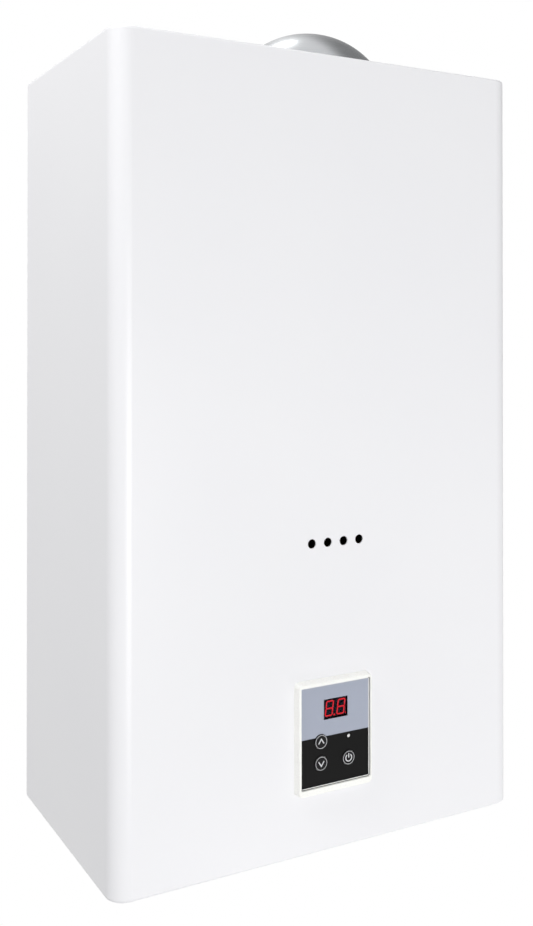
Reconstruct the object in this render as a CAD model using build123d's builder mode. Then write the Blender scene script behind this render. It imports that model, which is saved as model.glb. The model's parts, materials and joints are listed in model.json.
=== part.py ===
from build123d import *
import os

# Wall-hung tankless gas water heater with an exhaust fan, in millimetres.
# X runs to the right along the front, Y into the wall and Z up. The origin lies on the wall, midway
# between the four wall bolts. A depth is a distance out from the wall, so that y is minus the depth.

# Clearances and shared sizes
overrun = 2.0
fit_gap = 0.3
seat_gap = 0.2
running_gap = 0.05

# Casing
case_width = 350.0
case_height = 600.0
case_depth = 205.0
edge_radius = 14.0
sheet = 1.0
fold_inner = 1.5
return_flange = 18.0
side_flange = 12.0
back_lip = 12.0
vent_count = 12
vent_pitch = 14.0
vent_length = 40.0
vent_width = 5.0

# Hangers and wall bolts
hanger_sheet = 2.0
hanger_width = 260.0
hanger_lap = 36.0
hanger_rise = 28.0
hanger_corner = 6.0
wall_bolt_spacing = 200.0
wall_bolt_edge = 12.0
wall_bolt_radius = 4.0
keyhole_radius = 7.0
keyhole_slot_radius = 3.5
keyhole_drop = 12.0

# Screws that hold sheet parts
screw_radius = 1.9
screw_length = 7.0
screw_head_radius = 3.8
screw_head_height = 2.2
cover_screw_edge = 30.0
cover_screw_inset = 12.0

# Sight holes in the cover and the window behind them
sight_count = 4
sight_pitch = 14.0
sight_radius = 3.5
sight_rise = 231.3
sight_x = 3.4
window_margin = 7.0
window_thick = 1.5
window_lap = 6.0

# Flue outlet and rain cap
flue_x = 38.0
flue_radius = 40.0
flue_wall = 1.0
flue_flange_width = 14.0
flue_flange = 1.5
flue_gasket_thick = 2.0
collar_rise = 12.0
collar_drop = 14.0
cap_radius = 64.7
cap_rise = 37.0
cap_lift = 6.5
cap_sheet = 1.0
cap_skirt = 1.5
leg_count = 3
leg_width = 14.0
leg_sheet = 1.5

# Control panel
panel_rise = 87.9
panel_width = 66.0
panel_height = 84.4
panel_proud = 6.5
panel_corner = 4.0
panel_draft = 9.0
panel_edge = 1.0
panel_border = 2.4
panel_top_border = 3.2
panel_foot_border = 5.6
overlay_gap = 0.5
overlay_thick = 0.6
overlay_sink = 1.5
overlay_corner = 1.5
face_wall = 2.0
sleeve_inset = 4.0
sleeve_wall = 2.0
sleeve_depth = 14.0
display_rise = 18.8
display_x = 0.2
display_width = 21.0
display_height = 15.0
lens_thick = 1.6
lens_ledge = 1.0
board_thick = 1.6
key_radius = 5.4
key_x = 12.1
key_shift = -0.9
key_upper_drop = 4.2
key_lower_drop = 20.3
key_proud = 0.8
key_edge = 0.4
key_flange_radius = 6.6
key_flange = 1.2
key_stem_radius = 2.5
key_travel = 0.6
switch_size = 6.0
switch_height = 4.3
lamp_radius = 1.3
lamp_x = 11.8

# Heat exchanger and combustion chamber
hx_side_room = 55.0
hx_front_room = 37.5
hx_sheet = 1.0
flame_gap = 22.0
fin_count = 16
fin_thick = 0.6
fin_height = 48.0
fin_top_gap = 2.0
fin_end_gap = 8.0
fin_hole_sides = 8
tube_pitch = 24.0
tube_margin = 16.0
tube_radius = 8.0
tube_wall = 1.0
tube_stub = 6.0
return_cap_reach = 13.0
return_cap_wall = 1.5
thermostat_width = 26.0
thermostat_height = 14.0
thermostat_plate = 2.0
thermostat_radius = 7.0
thermostat_can = 7.0
thermostat_inset = 50.0
channel_length = 180.0
channel_height = 24.0
channel_sheet = 1.5
channel_inset = 30.0

# Burner
tray_height = 58.0
tray_sheet = 1.0
bar_pitch = 24.0
bar_margin = 20.0
bar_end_room = 10.0
bar_rise = 6.0
bar_neck = 5.0
bar_head_width = 12.0
bar_head_height = 12.0
bar_wall = 0.8
bar_mouth_radius = 8.0
bar_bore_radius = 5.5
bar_bore_sides = 12
port_count = 7
port_width = 2.0
port_depth = 3.0
port_margin = 2.0
air_slot_width = 5.0
air_slot_margin = 22.0

# Gas manifold and injectors
manifold_size = 16.0
manifold_gap = 6.0
manifold_overhang = 14.0
manifold_wall = 2.0
injector_rise = 22.0
injector_hex_radius = 4.0
injector_hex = 5.0
injector_nose_radius = 2.2
injector_nose = 8.0

# Electrodes
electrode_offsets_share = (-0.30, -0.24, 0.27)
electrode_rise = 10.0
ceramic_radius = 3.5
ceramic_inside = 10.0
ceramic_outside = 14.0
electrode_plate = 14.0
electrode_plate_thick = 1.5
electrode_rod_radius = 1.1
electrode_rod_inside = 16.0
electrode_rod_outside = 5.0

# Exhaust hood
hood_height = 40.0
hood_side_taper = 20.0
hood_front_taper = 36.0
hood_sheet = 1.0

# Exhaust fan
fan_drop = 71.7
fan_width = 50.0
fan_wall = 1.0
fan_foot = 3.0
scroll_radius = 52.0
scroll_step = 8.0
outlet_width = 56.0
outlet_lap = 5.0
eye_radius = 27.0
inlet_box_radius = 46.0
inlet_box_setback = 2.0
impeller_radius = 42.0
impeller_inner_radius = 32.0
impeller_width = 34.0
impeller_back_gap = 5.0
impeller_plate = 1.2
impeller_ring = 1.5
blade_count = 22
blade_thick = 0.8
blade_bend = 12.0
blade_sweep = 45.0
hub_radius = 8.0
hub_length = 14.0
shaft_radius = 4.0
shaft_in_motor = 34.0
motor_radius = 31.0
motor_length = 42.0
motor_edge = 4.0
motor_cap_radius = 14.0
motor_cap = 6.0
motor_screw_circle = 25.0
motor_screw_count = 3
motor_screw_grip = 5.0
shaft_hole_gap = 2.0

# Air pressure switch and its hose
switch_inset = 63.0
pressure_switch_radius = 24.0
pressure_switch_thick = 18.0
pressure_switch_rim = 3.0
pressure_switch_step = 4.0
nipple_radius = 3.0
nipple_length = 12.0
hose_radius = 3.5
hose_wall = 1.0
hose_bend = 16.0

# Pipe fittings through the bottom
thread_radius = 10.48
thread_length = 20.0
fitting_hex_radius = 15.0
fitting_hex = 12.0
fitting_neck_radius = 10.5
fitting_bore_radius = 7.0
neck_rise = 14.0
pipe_bend = 16.0
pipe_lead = 4.0

# Water flow sensor
sensor_radius = 16.0
sensor_height = 54.0
sensor_bore_radius = 10.0
sensor_top = 6.0
spider_rise = 6.0
spider_thick = 2.5
spider_hub_radius = 3.0
spider_arm = 2.0
spider_count = 3
axle_radius = 1.5
axle_length = 15.0
rotor_radius = 9.2
rotor_hub_radius = 3.4
rotor_length = 12.0
rotor_blade = 1.2
rotor_blade_count = 6
rotor_blade_angle = 35.0
pickup_width = 12.0
pickup_height = 18.0
pickup_reach = 6.0

# Hot water outlet
outlet_body = 26.0
outlet_body_height = 40.0
probe_radius = 4.0
probe_head = 9.0
probe_hex_radius = 6.0
probe_hex = 5.0
probe_length = 9.0
hot_inset = 49.0
hot_jog_rise = 68.0
hot_jog_height = 80.0

# Gas valve
gas_spacing = 50.0
valve_width = 56.0
valve_depth = 48.0
valve_height = 50.0
valve_corner = 5.0
valve_chamber_radius = 13.0
valve_chamber = 16.0
valve_port_radius = 5.0
valve_outlet_drop = 9.0
coil_radius = 17.0
coil_height = 34.0
coil_flange = 3.0
coil_flange_radius = 20.0
coil_bore = 27.0
plunger_radius = 6.0
plunger_reach = 20.0
plunger_disc_radius = 11.0
plunger_disc = 3.0
gas_pipe_radius = 7.0
gas_pipe_bend = 20.0

# Drain valve
drain_spacing = 46.0
drain_neck_radius = 8.0
drain_hex_radius = 11.0
drain_hex = 10.0
drain_rise = 36.0
drain_stub_radius = 6.0
drain_stem_radius = 3.0
drain_stem = 14.0
drain_knob_radius = 9.0
drain_knob_height = 9.0
drain_wing_span = 26.0
drain_wing = 5.0
drain_wing_drop = 4.0

# Electrics
box_width = 74.0
box_depth = 38.0
box_height = 104.0
box_corner = 3.0
box_lid = 4.0
box_lid_step = 2.0
box_gap = 8.0
box_front_gap = 18.0
igniter_width = 30.0
igniter_depth = 34.0
igniter_height = 46.0
igniter_post_radius = 4.0
igniter_post = 10.0
igniter_inset = 27.0
supply_width = 46.0
supply_depth = 34.0
supply_height = 40.0
supply_coil = 26.0
supply_reach = 8.0
supply_spacing = 48.0
gland_spacing = 42.0
gland_radius = 9.0
gland_neck_radius = 6.5
gland_bore_radius = 4.0
gland_rim = 3.0
gland_drop = 12.0

# Places worked out from the sizes above
fold_radius = fold_inner + sheet
back_inner = hanger_sheet + sheet
chassis_width = case_width - 2 * (sheet + fold_inner + fit_gap)
chassis_height = case_height - 2 * (sheet + fit_gap)
chassis_front = case_depth - sheet - fold_inner - fit_gap
roof_z = chassis_height / 2
floor_under = -chassis_height / 2
floor_z = floor_under + sheet
mid_depth = case_depth / 2
cover_screw_depth = case_depth - cover_screw_inset
cover_screw_spacing = case_width - 2 * cover_screw_edge
sight_z = sight_rise - case_height / 2
wall_bolt_z = case_height / 2 + hanger_rise - wall_bolt_edge

flue_flange_radius = flue_radius + flue_flange_width
flange_z = roof_z + flue_gasket_thick
flange_top = flange_z + flue_flange
collar_bottom = roof_z - collar_drop
cap_rim_z = case_height / 2 + cap_lift
cap_sphere = (cap_radius**2 + cap_rise**2) / (2 * cap_rise)
cap_centre_z = cap_rim_z + cap_rise - cap_sphere
flue_screw_circle = (flue_radius + flue_flange_radius) / 2

panel_z = panel_rise - case_height / 2
panel_front = case_depth + panel_proud
overlay_front = panel_front - overlay_sink
overlay_back = overlay_front - overlay_thick
face_back = overlay_back - face_wall
sleeve_back = case_depth - sleeve_depth
sleeve_width = panel_width - 2 * sleeve_inset
sleeve_height = panel_height - 2 * sleeve_inset
overlay_width = panel_width - 2 * panel_border
overlay_height = panel_height - panel_top_border - panel_foot_border
overlay_z = panel_z + (panel_foot_border - panel_top_border) / 2
display_z = overlay_z + display_rise
lens_back = overlay_front - lens_thick
switch_front = sleeve_back + switch_height
key_upper_z = overlay_z - key_upper_drop
key_lower_z = overlay_z - key_lower_drop
key_places = {
    "button_up": (key_shift - key_x, key_upper_z),
    "button_down": (key_shift - key_x, key_lower_z),
    "button_power": (key_shift + key_x, key_lower_z),
}
lamp_place = (lamp_x, key_upper_z)

scroll_right = scroll_radius + 5 * scroll_step / 2
scroll_left = scroll_radius + scroll_step / 2
scroll_bottom = scroll_radius + 3 * scroll_step / 2
fan_x = flue_x - scroll_right + outlet_width / 2
fan_z = roof_z - fan_drop
fan_back = mid_depth - fan_width / 2
fan_front = mid_depth + fan_width / 2
plate_back = fan_front - fan_wall
outlet_top = collar_bottom + outlet_lap
tongue_x = flue_x - outlet_width / 2
impeller_back = fan_back + fan_wall + impeller_back_gap
impeller_front = impeller_back + impeller_width
hose_z = fan_z - scroll_step / 2
switch_x = switch_inset - case_width / 2

hx_width = case_width - 2 * hx_side_room
hx_depth = case_depth - 2 * hx_front_room
hx_rear = mid_depth - hx_depth / 2
hx_front = mid_depth + hx_depth / 2
hood_top = fan_z - scroll_bottom - fan_foot
hood_top_width = hx_width - 2 * hood_side_taper
hood_top_depth = hx_depth - hood_front_taper
hx_top = hood_top - hood_height
inlet_box_back = hx_rear + inlet_box_setback
inlet_box_depth = fan_back - inlet_box_back
chamber_bottom = sight_z - flame_gap
tube_pairs = int((hx_depth - 2 * tube_margin) // (2 * tube_pitch))
tube_count = 2 * tube_pairs + 1
tube_z = hx_top - fin_top_gap - fin_height / 2
tube_span = tube_pitch * (tube_count - 1)
tube_reach = hx_width / 2 + tube_stub
tube_bore = tube_radius - tube_wall
thermostat_x = hx_width / 2 - thermostat_inset

tray_bottom = chamber_bottom - tray_height
tray_floor = tray_bottom + tray_sheet
bar_count = int((hx_width - 2 * bar_margin) // bar_pitch) + 1
bar_length = hx_depth - 2 * bar_end_room
bar_top = chamber_bottom + bar_rise
bar_front = mid_depth + bar_length / 2
bar_span = bar_pitch * (bar_count - 1)
injector_z = tray_bottom + injector_rise
manifold_rear = hx_front + manifold_gap
manifold_depth = manifold_rear + manifold_size / 2

cold_depth = mid_depth - tube_span / 2
hot_depth = mid_depth + tube_span / 2
cold_x = tube_reach + pipe_lead + pipe_bend
hot_x = case_width / 2 - hot_inset
drain_x = cold_x - drain_spacing
gas_x = drain_x - gas_spacing
gland_x = gland_spacing - hot_x
igniter_x = case_width / 2 - igniter_inset
supply_x = igniter_x - supply_spacing

hex_bottom = floor_under - fitting_hex
thread_end = hex_bottom - thread_length
neck_top = floor_z + neck_rise
sensor_floor = neck_top + spider_rise
spider_top = sensor_floor + spider_thick
sensor_end = neck_top + sensor_height
outlet_body_top = neck_top + outlet_body_height
valve_top = neck_top + valve_height
chamber_floor = valve_top - valve_chamber
valve_outlet_z = valve_top - valve_outlet_drop
valve_front = cold_depth + valve_depth / 2


def front_plane(depth):
    # A plane parallel to the wall, facing forward, with X across and Z up
    return Plane.XZ.offset(depth)


def save(piece, name):
    piece.part.label = name
    export_step(piece.part, f"parts/{name}.step")


def tube_run(points, bend, outer, bore):
    # A bent tube: straight runs joined by arcs
    with BuildPart() as run:
        with BuildLine() as route:
            FilletPolyline(*points, radius=bend)
        with BuildSketch(Plane(origin=route.line @ 0, z_dir=route.line % 0)):
            Circle(outer)
            Circle(bore, mode=Mode.SUBTRACT)
        sweep(path=route.line)
    return run


def upright_disc(x, depth, low, high, radius, mode=Mode.ADD):
    # A round vertical boss on the part that is being built
    with BuildSketch(Plane.XY.offset(low)) as disc:
        with Locations((x, -depth)):
            Circle(radius)
    extrude(disc.sketch, amount=high - low, mode=mode)


def upright_bore(x, depth, low, high, radius):
    # A round vertical cut through the part that is being built
    upright_disc(x, depth, low, high, radius, mode=Mode.SUBTRACT)


def upright_hex(x, depth, low, high, radius):
    # A hexagon for a spanner on the part that is being built
    with BuildSketch(Plane.XY.offset(low)) as flats:
        with Locations((x, -depth)):
            RegularPolygon(radius, 6)
    extrude(flats.sketch, amount=high - low)


def upright_block(x, depth, low, high, width, length):
    # A square vertical block on the part that is being built
    with BuildSketch(Plane.XY.offset(low)) as block:
        with Locations((x, -depth)):
            Rectangle(width, length)
    extrude(block.sketch, amount=high - low)


def fitting_stem(x, depth, top):
    # The part of a pipe fitting that passes through the case bottom: thread, hexagon and neck
    upright_hex(x, depth, hex_bottom, floor_under, fitting_hex_radius)
    upright_disc(x, depth, thread_end, hex_bottom, thread_radius)
    upright_disc(x, depth, floor_under, top, fitting_neck_radius)


os.makedirs("parts", exist_ok=True)

# Front cover: front and sides folded from one sheet, with return flanges at the top and bottom
with BuildPart() as front_cover:
    with BuildSketch(Plane.XY.offset(-case_height / 2)):
        with Locations((0, -(case_depth + hanger_sheet) / 2)):
            Rectangle(case_width, case_depth - hanger_sheet)
    extrude(amount=case_height)
    front_face = front_cover.faces().sort_by(Axis.Y)[0]
    fillet(front_face.edges().filter_by(Axis.Z), radius=edge_radius)
    rim_faces = front_cover.faces().filter_by(Axis.Z)
    rim_edges = ShapeList(edge for face in rim_faces for edge in face.edges())
    fillet(rim_edges.sort_by(Axis.Y)[:-2], radius=fold_radius)
    back_face = front_cover.faces().sort_by(Axis.Y)[-1]
    offset(amount=-sheet, openings=back_face)
    with BuildSketch(Plane.XY.offset(-case_height / 2 - overrun)):
        with Locations((0, return_flange - case_depth)):
            Rectangle(
                case_width - 2 * side_flange,
                case_depth - return_flange,
                align=(Align.CENTER, Align.MIN),
            )
    extrude(amount=case_height + 2 * overrun, mode=Mode.SUBTRACT)
    with BuildSketch(front_plane(case_depth + overrun)):
        with Locations((sight_x, sight_z)):
            with GridLocations(sight_pitch, 0, sight_count, 1):
                Circle(sight_radius)
        with Locations((0, panel_z)):
            Rectangle(sleeve_width + 2 * fit_gap, sleeve_height + 2 * fit_gap)
    extrude(amount=-(sheet + 2 * overrun), mode=Mode.SUBTRACT)
    with BuildSketch(Plane.XY.offset(-case_height / 2 - overrun)):
        with Locations((0, -cover_screw_depth)):
            with GridLocations(cover_screw_spacing, 0, 2, 1):
                Circle(screw_radius + seat_gap)
    extrude(amount=case_height + 2 * overrun, mode=Mode.SUBTRACT)
save(front_cover, "front_cover")

# Rear chassis: back, top and bottom folded from one sheet
with BuildPart() as rear_chassis:
    with BuildSketch(Plane.YZ.offset(-chassis_width / 2)):
        with Locations((-hanger_sheet, 0)):
            Rectangle(chassis_front - hanger_sheet, chassis_height, align=(Align.MAX, Align.CENTER))
        with Locations((-back_inner, 0)):
            Rectangle(
                chassis_front,
                chassis_height - 2 * sheet,
                align=(Align.MAX, Align.CENTER),
                mode=Mode.SUBTRACT,
            )
    extrude(amount=chassis_width)
    fold_edges = rear_chassis.edges().filter_by(Axis.X).group_by(Axis.Y)[-1]
    fillet(fold_edges, radius=fold_radius)
    corner_edges = rear_chassis.edges().filter_by(Axis.Z).group_by(Axis.Y)[0]
    fillet(corner_edges, radius=edge_radius)
    with BuildSketch(front_plane(back_inner)):
        with GridLocations(chassis_width - sheet, 0, 2, 1):
            Rectangle(sheet, chassis_height - 2 * sheet)
    extrude(amount=back_lip)
    upright_bore(flue_x, mid_depth, 0, roof_z + overrun, flue_radius + fit_gap)
    for bore_x, bore_depth, bore_radius in (
        (cold_x, cold_depth, fitting_neck_radius),
        (-hot_x, cold_depth, fitting_neck_radius),
        (gas_x, cold_depth, fitting_neck_radius),
        (drain_x, cold_depth, drain_neck_radius),
        (gland_x, cold_depth, gland_neck_radius),
    ):
        upright_bore(bore_x, bore_depth, floor_under - overrun, 0, bore_radius + fit_gap)
    with BuildSketch(Plane.XY.offset(floor_under - overrun)):
        with Locations((0, -mid_depth)):
            with GridLocations(vent_pitch, 0, vent_count, 1):
                SlotOverall(vent_length, vent_width, rotation=90)
    extrude(amount=sheet + 2 * overrun, mode=Mode.SUBTRACT)
    with BuildSketch(Plane.XY.offset(floor_under - overrun)):
        with Locations((0, -cover_screw_depth)):
            with GridLocations(cover_screw_spacing, 0, 2, 1):
                Circle(screw_radius + seat_gap)
    extrude(amount=chassis_height + 2 * overrun, mode=Mode.SUBTRACT)
    with BuildSketch(Plane.XY.offset(roof_z + overrun)):
        with Locations((flue_x, -mid_depth)):
            with PolarLocations(flue_screw_circle, leg_count, start_angle=270 - 360 / leg_count):
                Circle(screw_radius + seat_gap)
    extrude(amount=-(sheet + 2 * overrun), mode=Mode.SUBTRACT)
save(rear_chassis, "rear_chassis")


def hanger(side):
    # A strip welded to the chassis back that stands out past the case by its rise; side is +1 or -1
    middle = side * (case_height / 2 + (hanger_rise - hanger_lap) / 2)
    with BuildPart() as strip:
        with BuildSketch(front_plane(0)):
            with Locations((0, middle)):
                RectangleRounded(hanger_width, hanger_rise + hanger_lap, hanger_corner)
            with Locations((0, side * wall_bolt_z)):
                with GridLocations(wall_bolt_spacing, 0, 2, 1):
                    Circle(wall_bolt_radius, mode=Mode.SUBTRACT)
            if side > 0:
                with Locations((0, wall_bolt_z - keyhole_drop)):
                    Circle(keyhole_radius, mode=Mode.SUBTRACT)
                    SlotOverall(
                        2 * keyhole_drop,
                        2 * keyhole_slot_radius,
                        rotation=90,
                        mode=Mode.SUBTRACT,
                    )
        extrude(amount=hanger_sheet)
    return strip


save(hanger(1), "top_hanger")
save(hanger(-1), "bottom_hanger")

# Cover screws: two up through the bottom flange and two down through the top one
with BuildPart() as cover_screws:
    for side in (1, -1):
        with BuildSketch(Plane.XY.offset(side * case_height / 2)):
            with Locations((0, -cover_screw_depth)):
                with GridLocations(cover_screw_spacing, 0, 2, 1):
                    Circle(screw_head_radius)
        extrude(amount=side * screw_head_height)
        with BuildSketch(Plane.XY.offset(side * case_height / 2)):
            with Locations((0, -cover_screw_depth)):
                with GridLocations(cover_screw_spacing, 0, 2, 1):
                    Circle(screw_radius)
        extrude(amount=-side * screw_length)
save(cover_screws, "cover_screws")

# Flue gasket on the roof
with BuildPart() as flue_gasket:
    with BuildSketch(Plane.XY.offset(roof_z)):
        with Locations((flue_x, -mid_depth)):
            Circle(flue_flange_radius)
            Circle(flue_radius + fit_gap, mode=Mode.SUBTRACT)
            with PolarLocations(flue_screw_circle, leg_count, start_angle=270 - 360 / leg_count):
                Circle(screw_radius + seat_gap, mode=Mode.SUBTRACT)
    extrude(amount=flue_gasket_thick)
save(flue_gasket, "flue_gasket")

# Flue collar: a drawn cup with a flange on the roof and a floor that the fan outlet comes through
with BuildPart() as flue_collar:
    with BuildSketch(Plane.XY.offset(collar_bottom)):
        with Locations((flue_x, -mid_depth)):
            Circle(flue_radius)
    extrude(amount=flange_top + collar_rise - collar_bottom)
    with BuildSketch(Plane.XY.offset(flange_z)):
        with Locations((flue_x, -mid_depth)):
            Circle(flue_flange_radius)
            with PolarLocations(flue_screw_circle, leg_count, start_angle=270 - 360 / leg_count):
                Circle(screw_radius + seat_gap, mode=Mode.SUBTRACT)
    extrude(amount=flue_flange)
    upright_bore(
        flue_x,
        mid_depth,
        collar_bottom + flue_wall,
        flange_top + collar_rise + overrun,
        flue_radius - flue_wall,
    )
    with BuildSketch(Plane.XY.offset(collar_bottom - overrun)):
        with Locations((flue_x, -mid_depth)):
            Rectangle(outlet_width + 2 * fit_gap, fan_width + 2 * fit_gap)
    extrude(amount=flue_wall + 2 * overrun, mode=Mode.SUBTRACT)
save(flue_collar, "flue_collar")

# Flue screws through the flange, gasket and roof
with BuildPart() as flue_screws:
    with BuildSketch(Plane.XY.offset(flange_top)):
        with Locations((flue_x, -mid_depth)):
            with PolarLocations(flue_screw_circle, leg_count, start_angle=270 - 360 / leg_count):
                Circle(screw_head_radius)
    extrude(amount=screw_head_height)
    with BuildSketch(Plane.XY.offset(flange_top)):
        with Locations((flue_x, -mid_depth)):
            with PolarLocations(flue_screw_circle, leg_count, start_angle=270 - 360 / leg_count):
                Circle(screw_radius)
    extrude(amount=-(screw_length + flue_gasket_thick))
save(flue_screws, "flue_screws")

# Rain cap: a domed sheet with a short skirt, turned about the flue axis
flue_axis = Axis((flue_x, -mid_depth, 0), (0, 0, 1))
with BuildPart() as rain_cap:
    with BuildSketch(Plane.XZ.offset(mid_depth)):
        with Locations((flue_x, cap_centre_z)):
            Circle(cap_sphere)
            Circle(cap_sphere - cap_sheet, mode=Mode.SUBTRACT)
        with Locations((flue_x, cap_rim_z)):
            Rectangle(cap_radius, 2 * cap_rise, align=(Align.MIN, Align.MIN), mode=Mode.INTERSECT)
        with Locations((flue_x + cap_radius, cap_rim_z)):
            Rectangle(cap_sheet, cap_skirt, align=(Align.MAX, Align.MAX))
            Rectangle(cap_sheet, 2 * cap_sheet, align=(Align.MAX, Align.CENTER))
    revolve(axis=flue_axis)
save(rain_cap, "rain_cap")

# Legs of the rain cap, on the flange against the collar, trimmed to the dome
with BuildPart() as rain_cap_legs:
    with BuildSketch(Plane.XY.offset(flange_top)):
        with Locations((flue_x, -mid_depth)):
            with PolarLocations(flue_radius + seat_gap + leg_sheet / 2, leg_count, start_angle=90):
                Rectangle(leg_sheet, leg_width)
    extrude(amount=cap_rim_z + cap_rise - flange_top)
    with Locations((flue_x, -mid_depth, cap_centre_z)):
        Sphere(cap_sphere - cap_sheet - seat_gap, mode=Mode.INTERSECT)
save(rain_cap_legs, "rain_cap_legs")

# Panel bezel: a drafted frame on the cover with a sleeve through its cut-out
with BuildPart() as panel_bezel:
    with BuildSketch(front_plane(case_depth)):
        with Locations((0, panel_z)):
            RectangleRounded(panel_width, panel_height, panel_corner)
    extrude(amount=panel_proud, taper=panel_draft)
    fillet(panel_bezel.faces().sort_by(Axis.Y)[0].edges(), radius=panel_edge)
    with BuildSketch(front_plane(sleeve_back)):
        with Locations((0, panel_z)):
            Rectangle(sleeve_width, sleeve_height)
    extrude(amount=sleeve_depth)
    with BuildSketch(front_plane(sleeve_back - overrun)):
        with Locations((0, panel_z)):
            Rectangle(sleeve_width - 2 * sleeve_wall, sleeve_height - 2 * sleeve_wall)
    extrude(amount=face_back - sleeve_back + overrun, mode=Mode.SUBTRACT)
    with BuildSketch(front_plane(overlay_back)):
        with Locations((0, overlay_z)):
            RectangleRounded(overlay_width, overlay_height, overlay_corner)
    extrude(amount=overlay_thick + overlay_sink + overrun, mode=Mode.SUBTRACT)
    with BuildSketch(front_plane(lens_back)):
        with Locations((display_x, display_z)):
            Rectangle(display_width, display_height)
    extrude(amount=lens_thick, mode=Mode.SUBTRACT)
    with BuildSketch(front_plane(face_back - overrun)):
        with Locations((display_x, display_z)):
            Rectangle(display_width - 2 * lens_ledge, display_height - 2 * lens_ledge)
        with Locations(*key_places.values()):
            Circle(key_radius + seat_gap)
        with Locations(lamp_place):
            Circle(lamp_radius + seat_gap)
    extrude(amount=face_wall + 2 * overrun, mode=Mode.SUBTRACT)
save(panel_bezel, "panel_bezel")

# Printed overlay stuck in the bezel, open at the lens, the keys and the lamp
with BuildPart() as panel_overlay:
    with BuildSketch(front_plane(overlay_back)):
        with Locations((0, overlay_z)):
            RectangleRounded(overlay_width - 2 * overlay_gap, overlay_height - 2 * overlay_gap, overlay_corner)
        with Locations((display_x, display_z)):
            Rectangle(display_width, display_height, mode=Mode.SUBTRACT)
        with Locations(*key_places.values()):
            Circle(key_radius + seat_gap, mode=Mode.SUBTRACT)
        with Locations(lamp_place):
            Circle(lamp_radius + seat_gap, mode=Mode.SUBTRACT)
    extrude(amount=overlay_thick)
save(panel_overlay, "panel_overlay")

# Smoked lens of the display, resting on the bezel's ledge
with BuildPart() as display_lens:
    with BuildSketch(front_plane(lens_back)):
        with Locations((display_x, display_z)):
            Rectangle(display_width - 2 * seat_gap, display_height - 2 * seat_gap)
    extrude(amount=lens_thick)
save(display_lens, "display_lens")

# Display board on the back of the bezel's sleeve
with BuildPart() as display_board:
    with BuildSketch(front_plane(sleeve_back - board_thick)):
        with Locations((0, panel_z)):
            Rectangle(sleeve_width, sleeve_height)
    extrude(amount=board_thick)
save(display_board, "display_board")

# Two-digit display module between the board and the lens
with BuildPart() as display_module:
    with BuildSketch(front_plane(sleeve_back)):
        with Locations((display_x, display_z)):
            Rectangle(
                display_width - 2 * (lens_ledge + fit_gap),
                display_height - 2 * (lens_ledge + fit_gap),
            )
    extrude(amount=lens_back - sleeve_back - seat_gap)
save(display_module, "display_module")

# Key switches on the board, one behind each key
with BuildPart() as key_switches:
    with BuildSketch(front_plane(sleeve_back)):
        with Locations(*key_places.values()):
            Rectangle(switch_size, switch_size)
    extrude(amount=switch_height)
save(key_switches, "key_switches")


def key(place):
    # A round key with a retaining flange behind the bezel's face and a stem towards its switch
    with BuildPart() as cap:
        with BuildSketch(front_plane(face_back)):
            with Locations(place):
                Circle(key_radius)
        extrude(amount=overlay_front + key_proud - face_back)
        fillet(cap.faces().sort_by(Axis.Y)[0].edges(), radius=key_edge)
        with BuildSketch(front_plane(face_back)):
            with Locations(place):
                Circle(key_flange_radius)
        extrude(amount=-key_flange)
        with BuildSketch(front_plane(face_back - key_flange)):
            with Locations(place):
                Circle(key_stem_radius)
        extrude(amount=switch_front + key_travel + seat_gap - face_back + key_flange)
    return cap


for key_name, key_place in key_places.items():
    save(key(key_place), key_name)

# Indicator lamp: a round light pipe from the board to the overlay
with BuildPart() as indicator_light:
    with BuildSketch(front_plane(sleeve_back)):
        with Locations(lamp_place):
            Circle(lamp_radius)
    extrude(amount=overlay_front - sleeve_back)
    fillet(indicator_light.faces().sort_by(Axis.Y)[0].edges(), radius=lamp_radius / 2)
save(indicator_light, "indicator_light")

# Heat exchanger shell: an open copper box round the chamber and the fins
window_width = sight_pitch * (sight_count - 1) + 2 * window_margin
with BuildPart() as heat_exchanger_shell:
    with BuildSketch(Plane.XY.offset(chamber_bottom)):
        with Locations((0, -mid_depth)):
            Rectangle(hx_width, hx_depth)
            Rectangle(hx_width - 2 * hx_sheet, hx_depth - 2 * hx_sheet, mode=Mode.SUBTRACT)
    extrude(amount=hx_top - chamber_bottom)
    with BuildSketch(Plane.YZ.offset(-tube_reach)):
        with Locations((-mid_depth, tube_z)):
            with GridLocations(tube_pitch, 0, tube_count, 1):
                Circle(tube_radius + seat_gap)
    extrude(amount=2 * tube_reach, mode=Mode.SUBTRACT)
    with BuildSketch(front_plane(hx_front + overrun)):
        with Locations((sight_x, sight_z)):
            SlotOverall(window_width, 2 * window_margin)
        for offset_share in electrode_offsets_share:
            with Locations((offset_share * hx_width, chamber_bottom + electrode_rise)):
                Circle(ceramic_radius + seat_gap)
    extrude(amount=-(hx_sheet + 2 * overrun), mode=Mode.SUBTRACT)
save(heat_exchanger_shell, "heat_exchanger_shell")

# Fins: thin upright plates across the tubes
fin_span = hx_width - 2 * (hx_sheet + fin_end_gap)
fin_pitch = fin_span / (fin_count - 1)
with BuildPart() as heat_exchanger_fins:
    for fin_number in range(fin_count):
        with BuildSketch(Plane.YZ.offset(fin_number * fin_pitch - fin_span / 2)):
            with Locations((-mid_depth, tube_z)):
                Rectangle(hx_depth - 2 * (hx_sheet + fit_gap), fin_height)
                with GridLocations(tube_pitch, 0, tube_count, 1):
                    RegularPolygon(
                        tube_radius + seat_gap,
                        fin_hole_sides,
                        major_radius=False,
                        mode=Mode.SUBTRACT,
                    )
        extrude(amount=fin_thick / 2, both=True)
save(heat_exchanger_fins, "heat_exchanger_fins")

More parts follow.
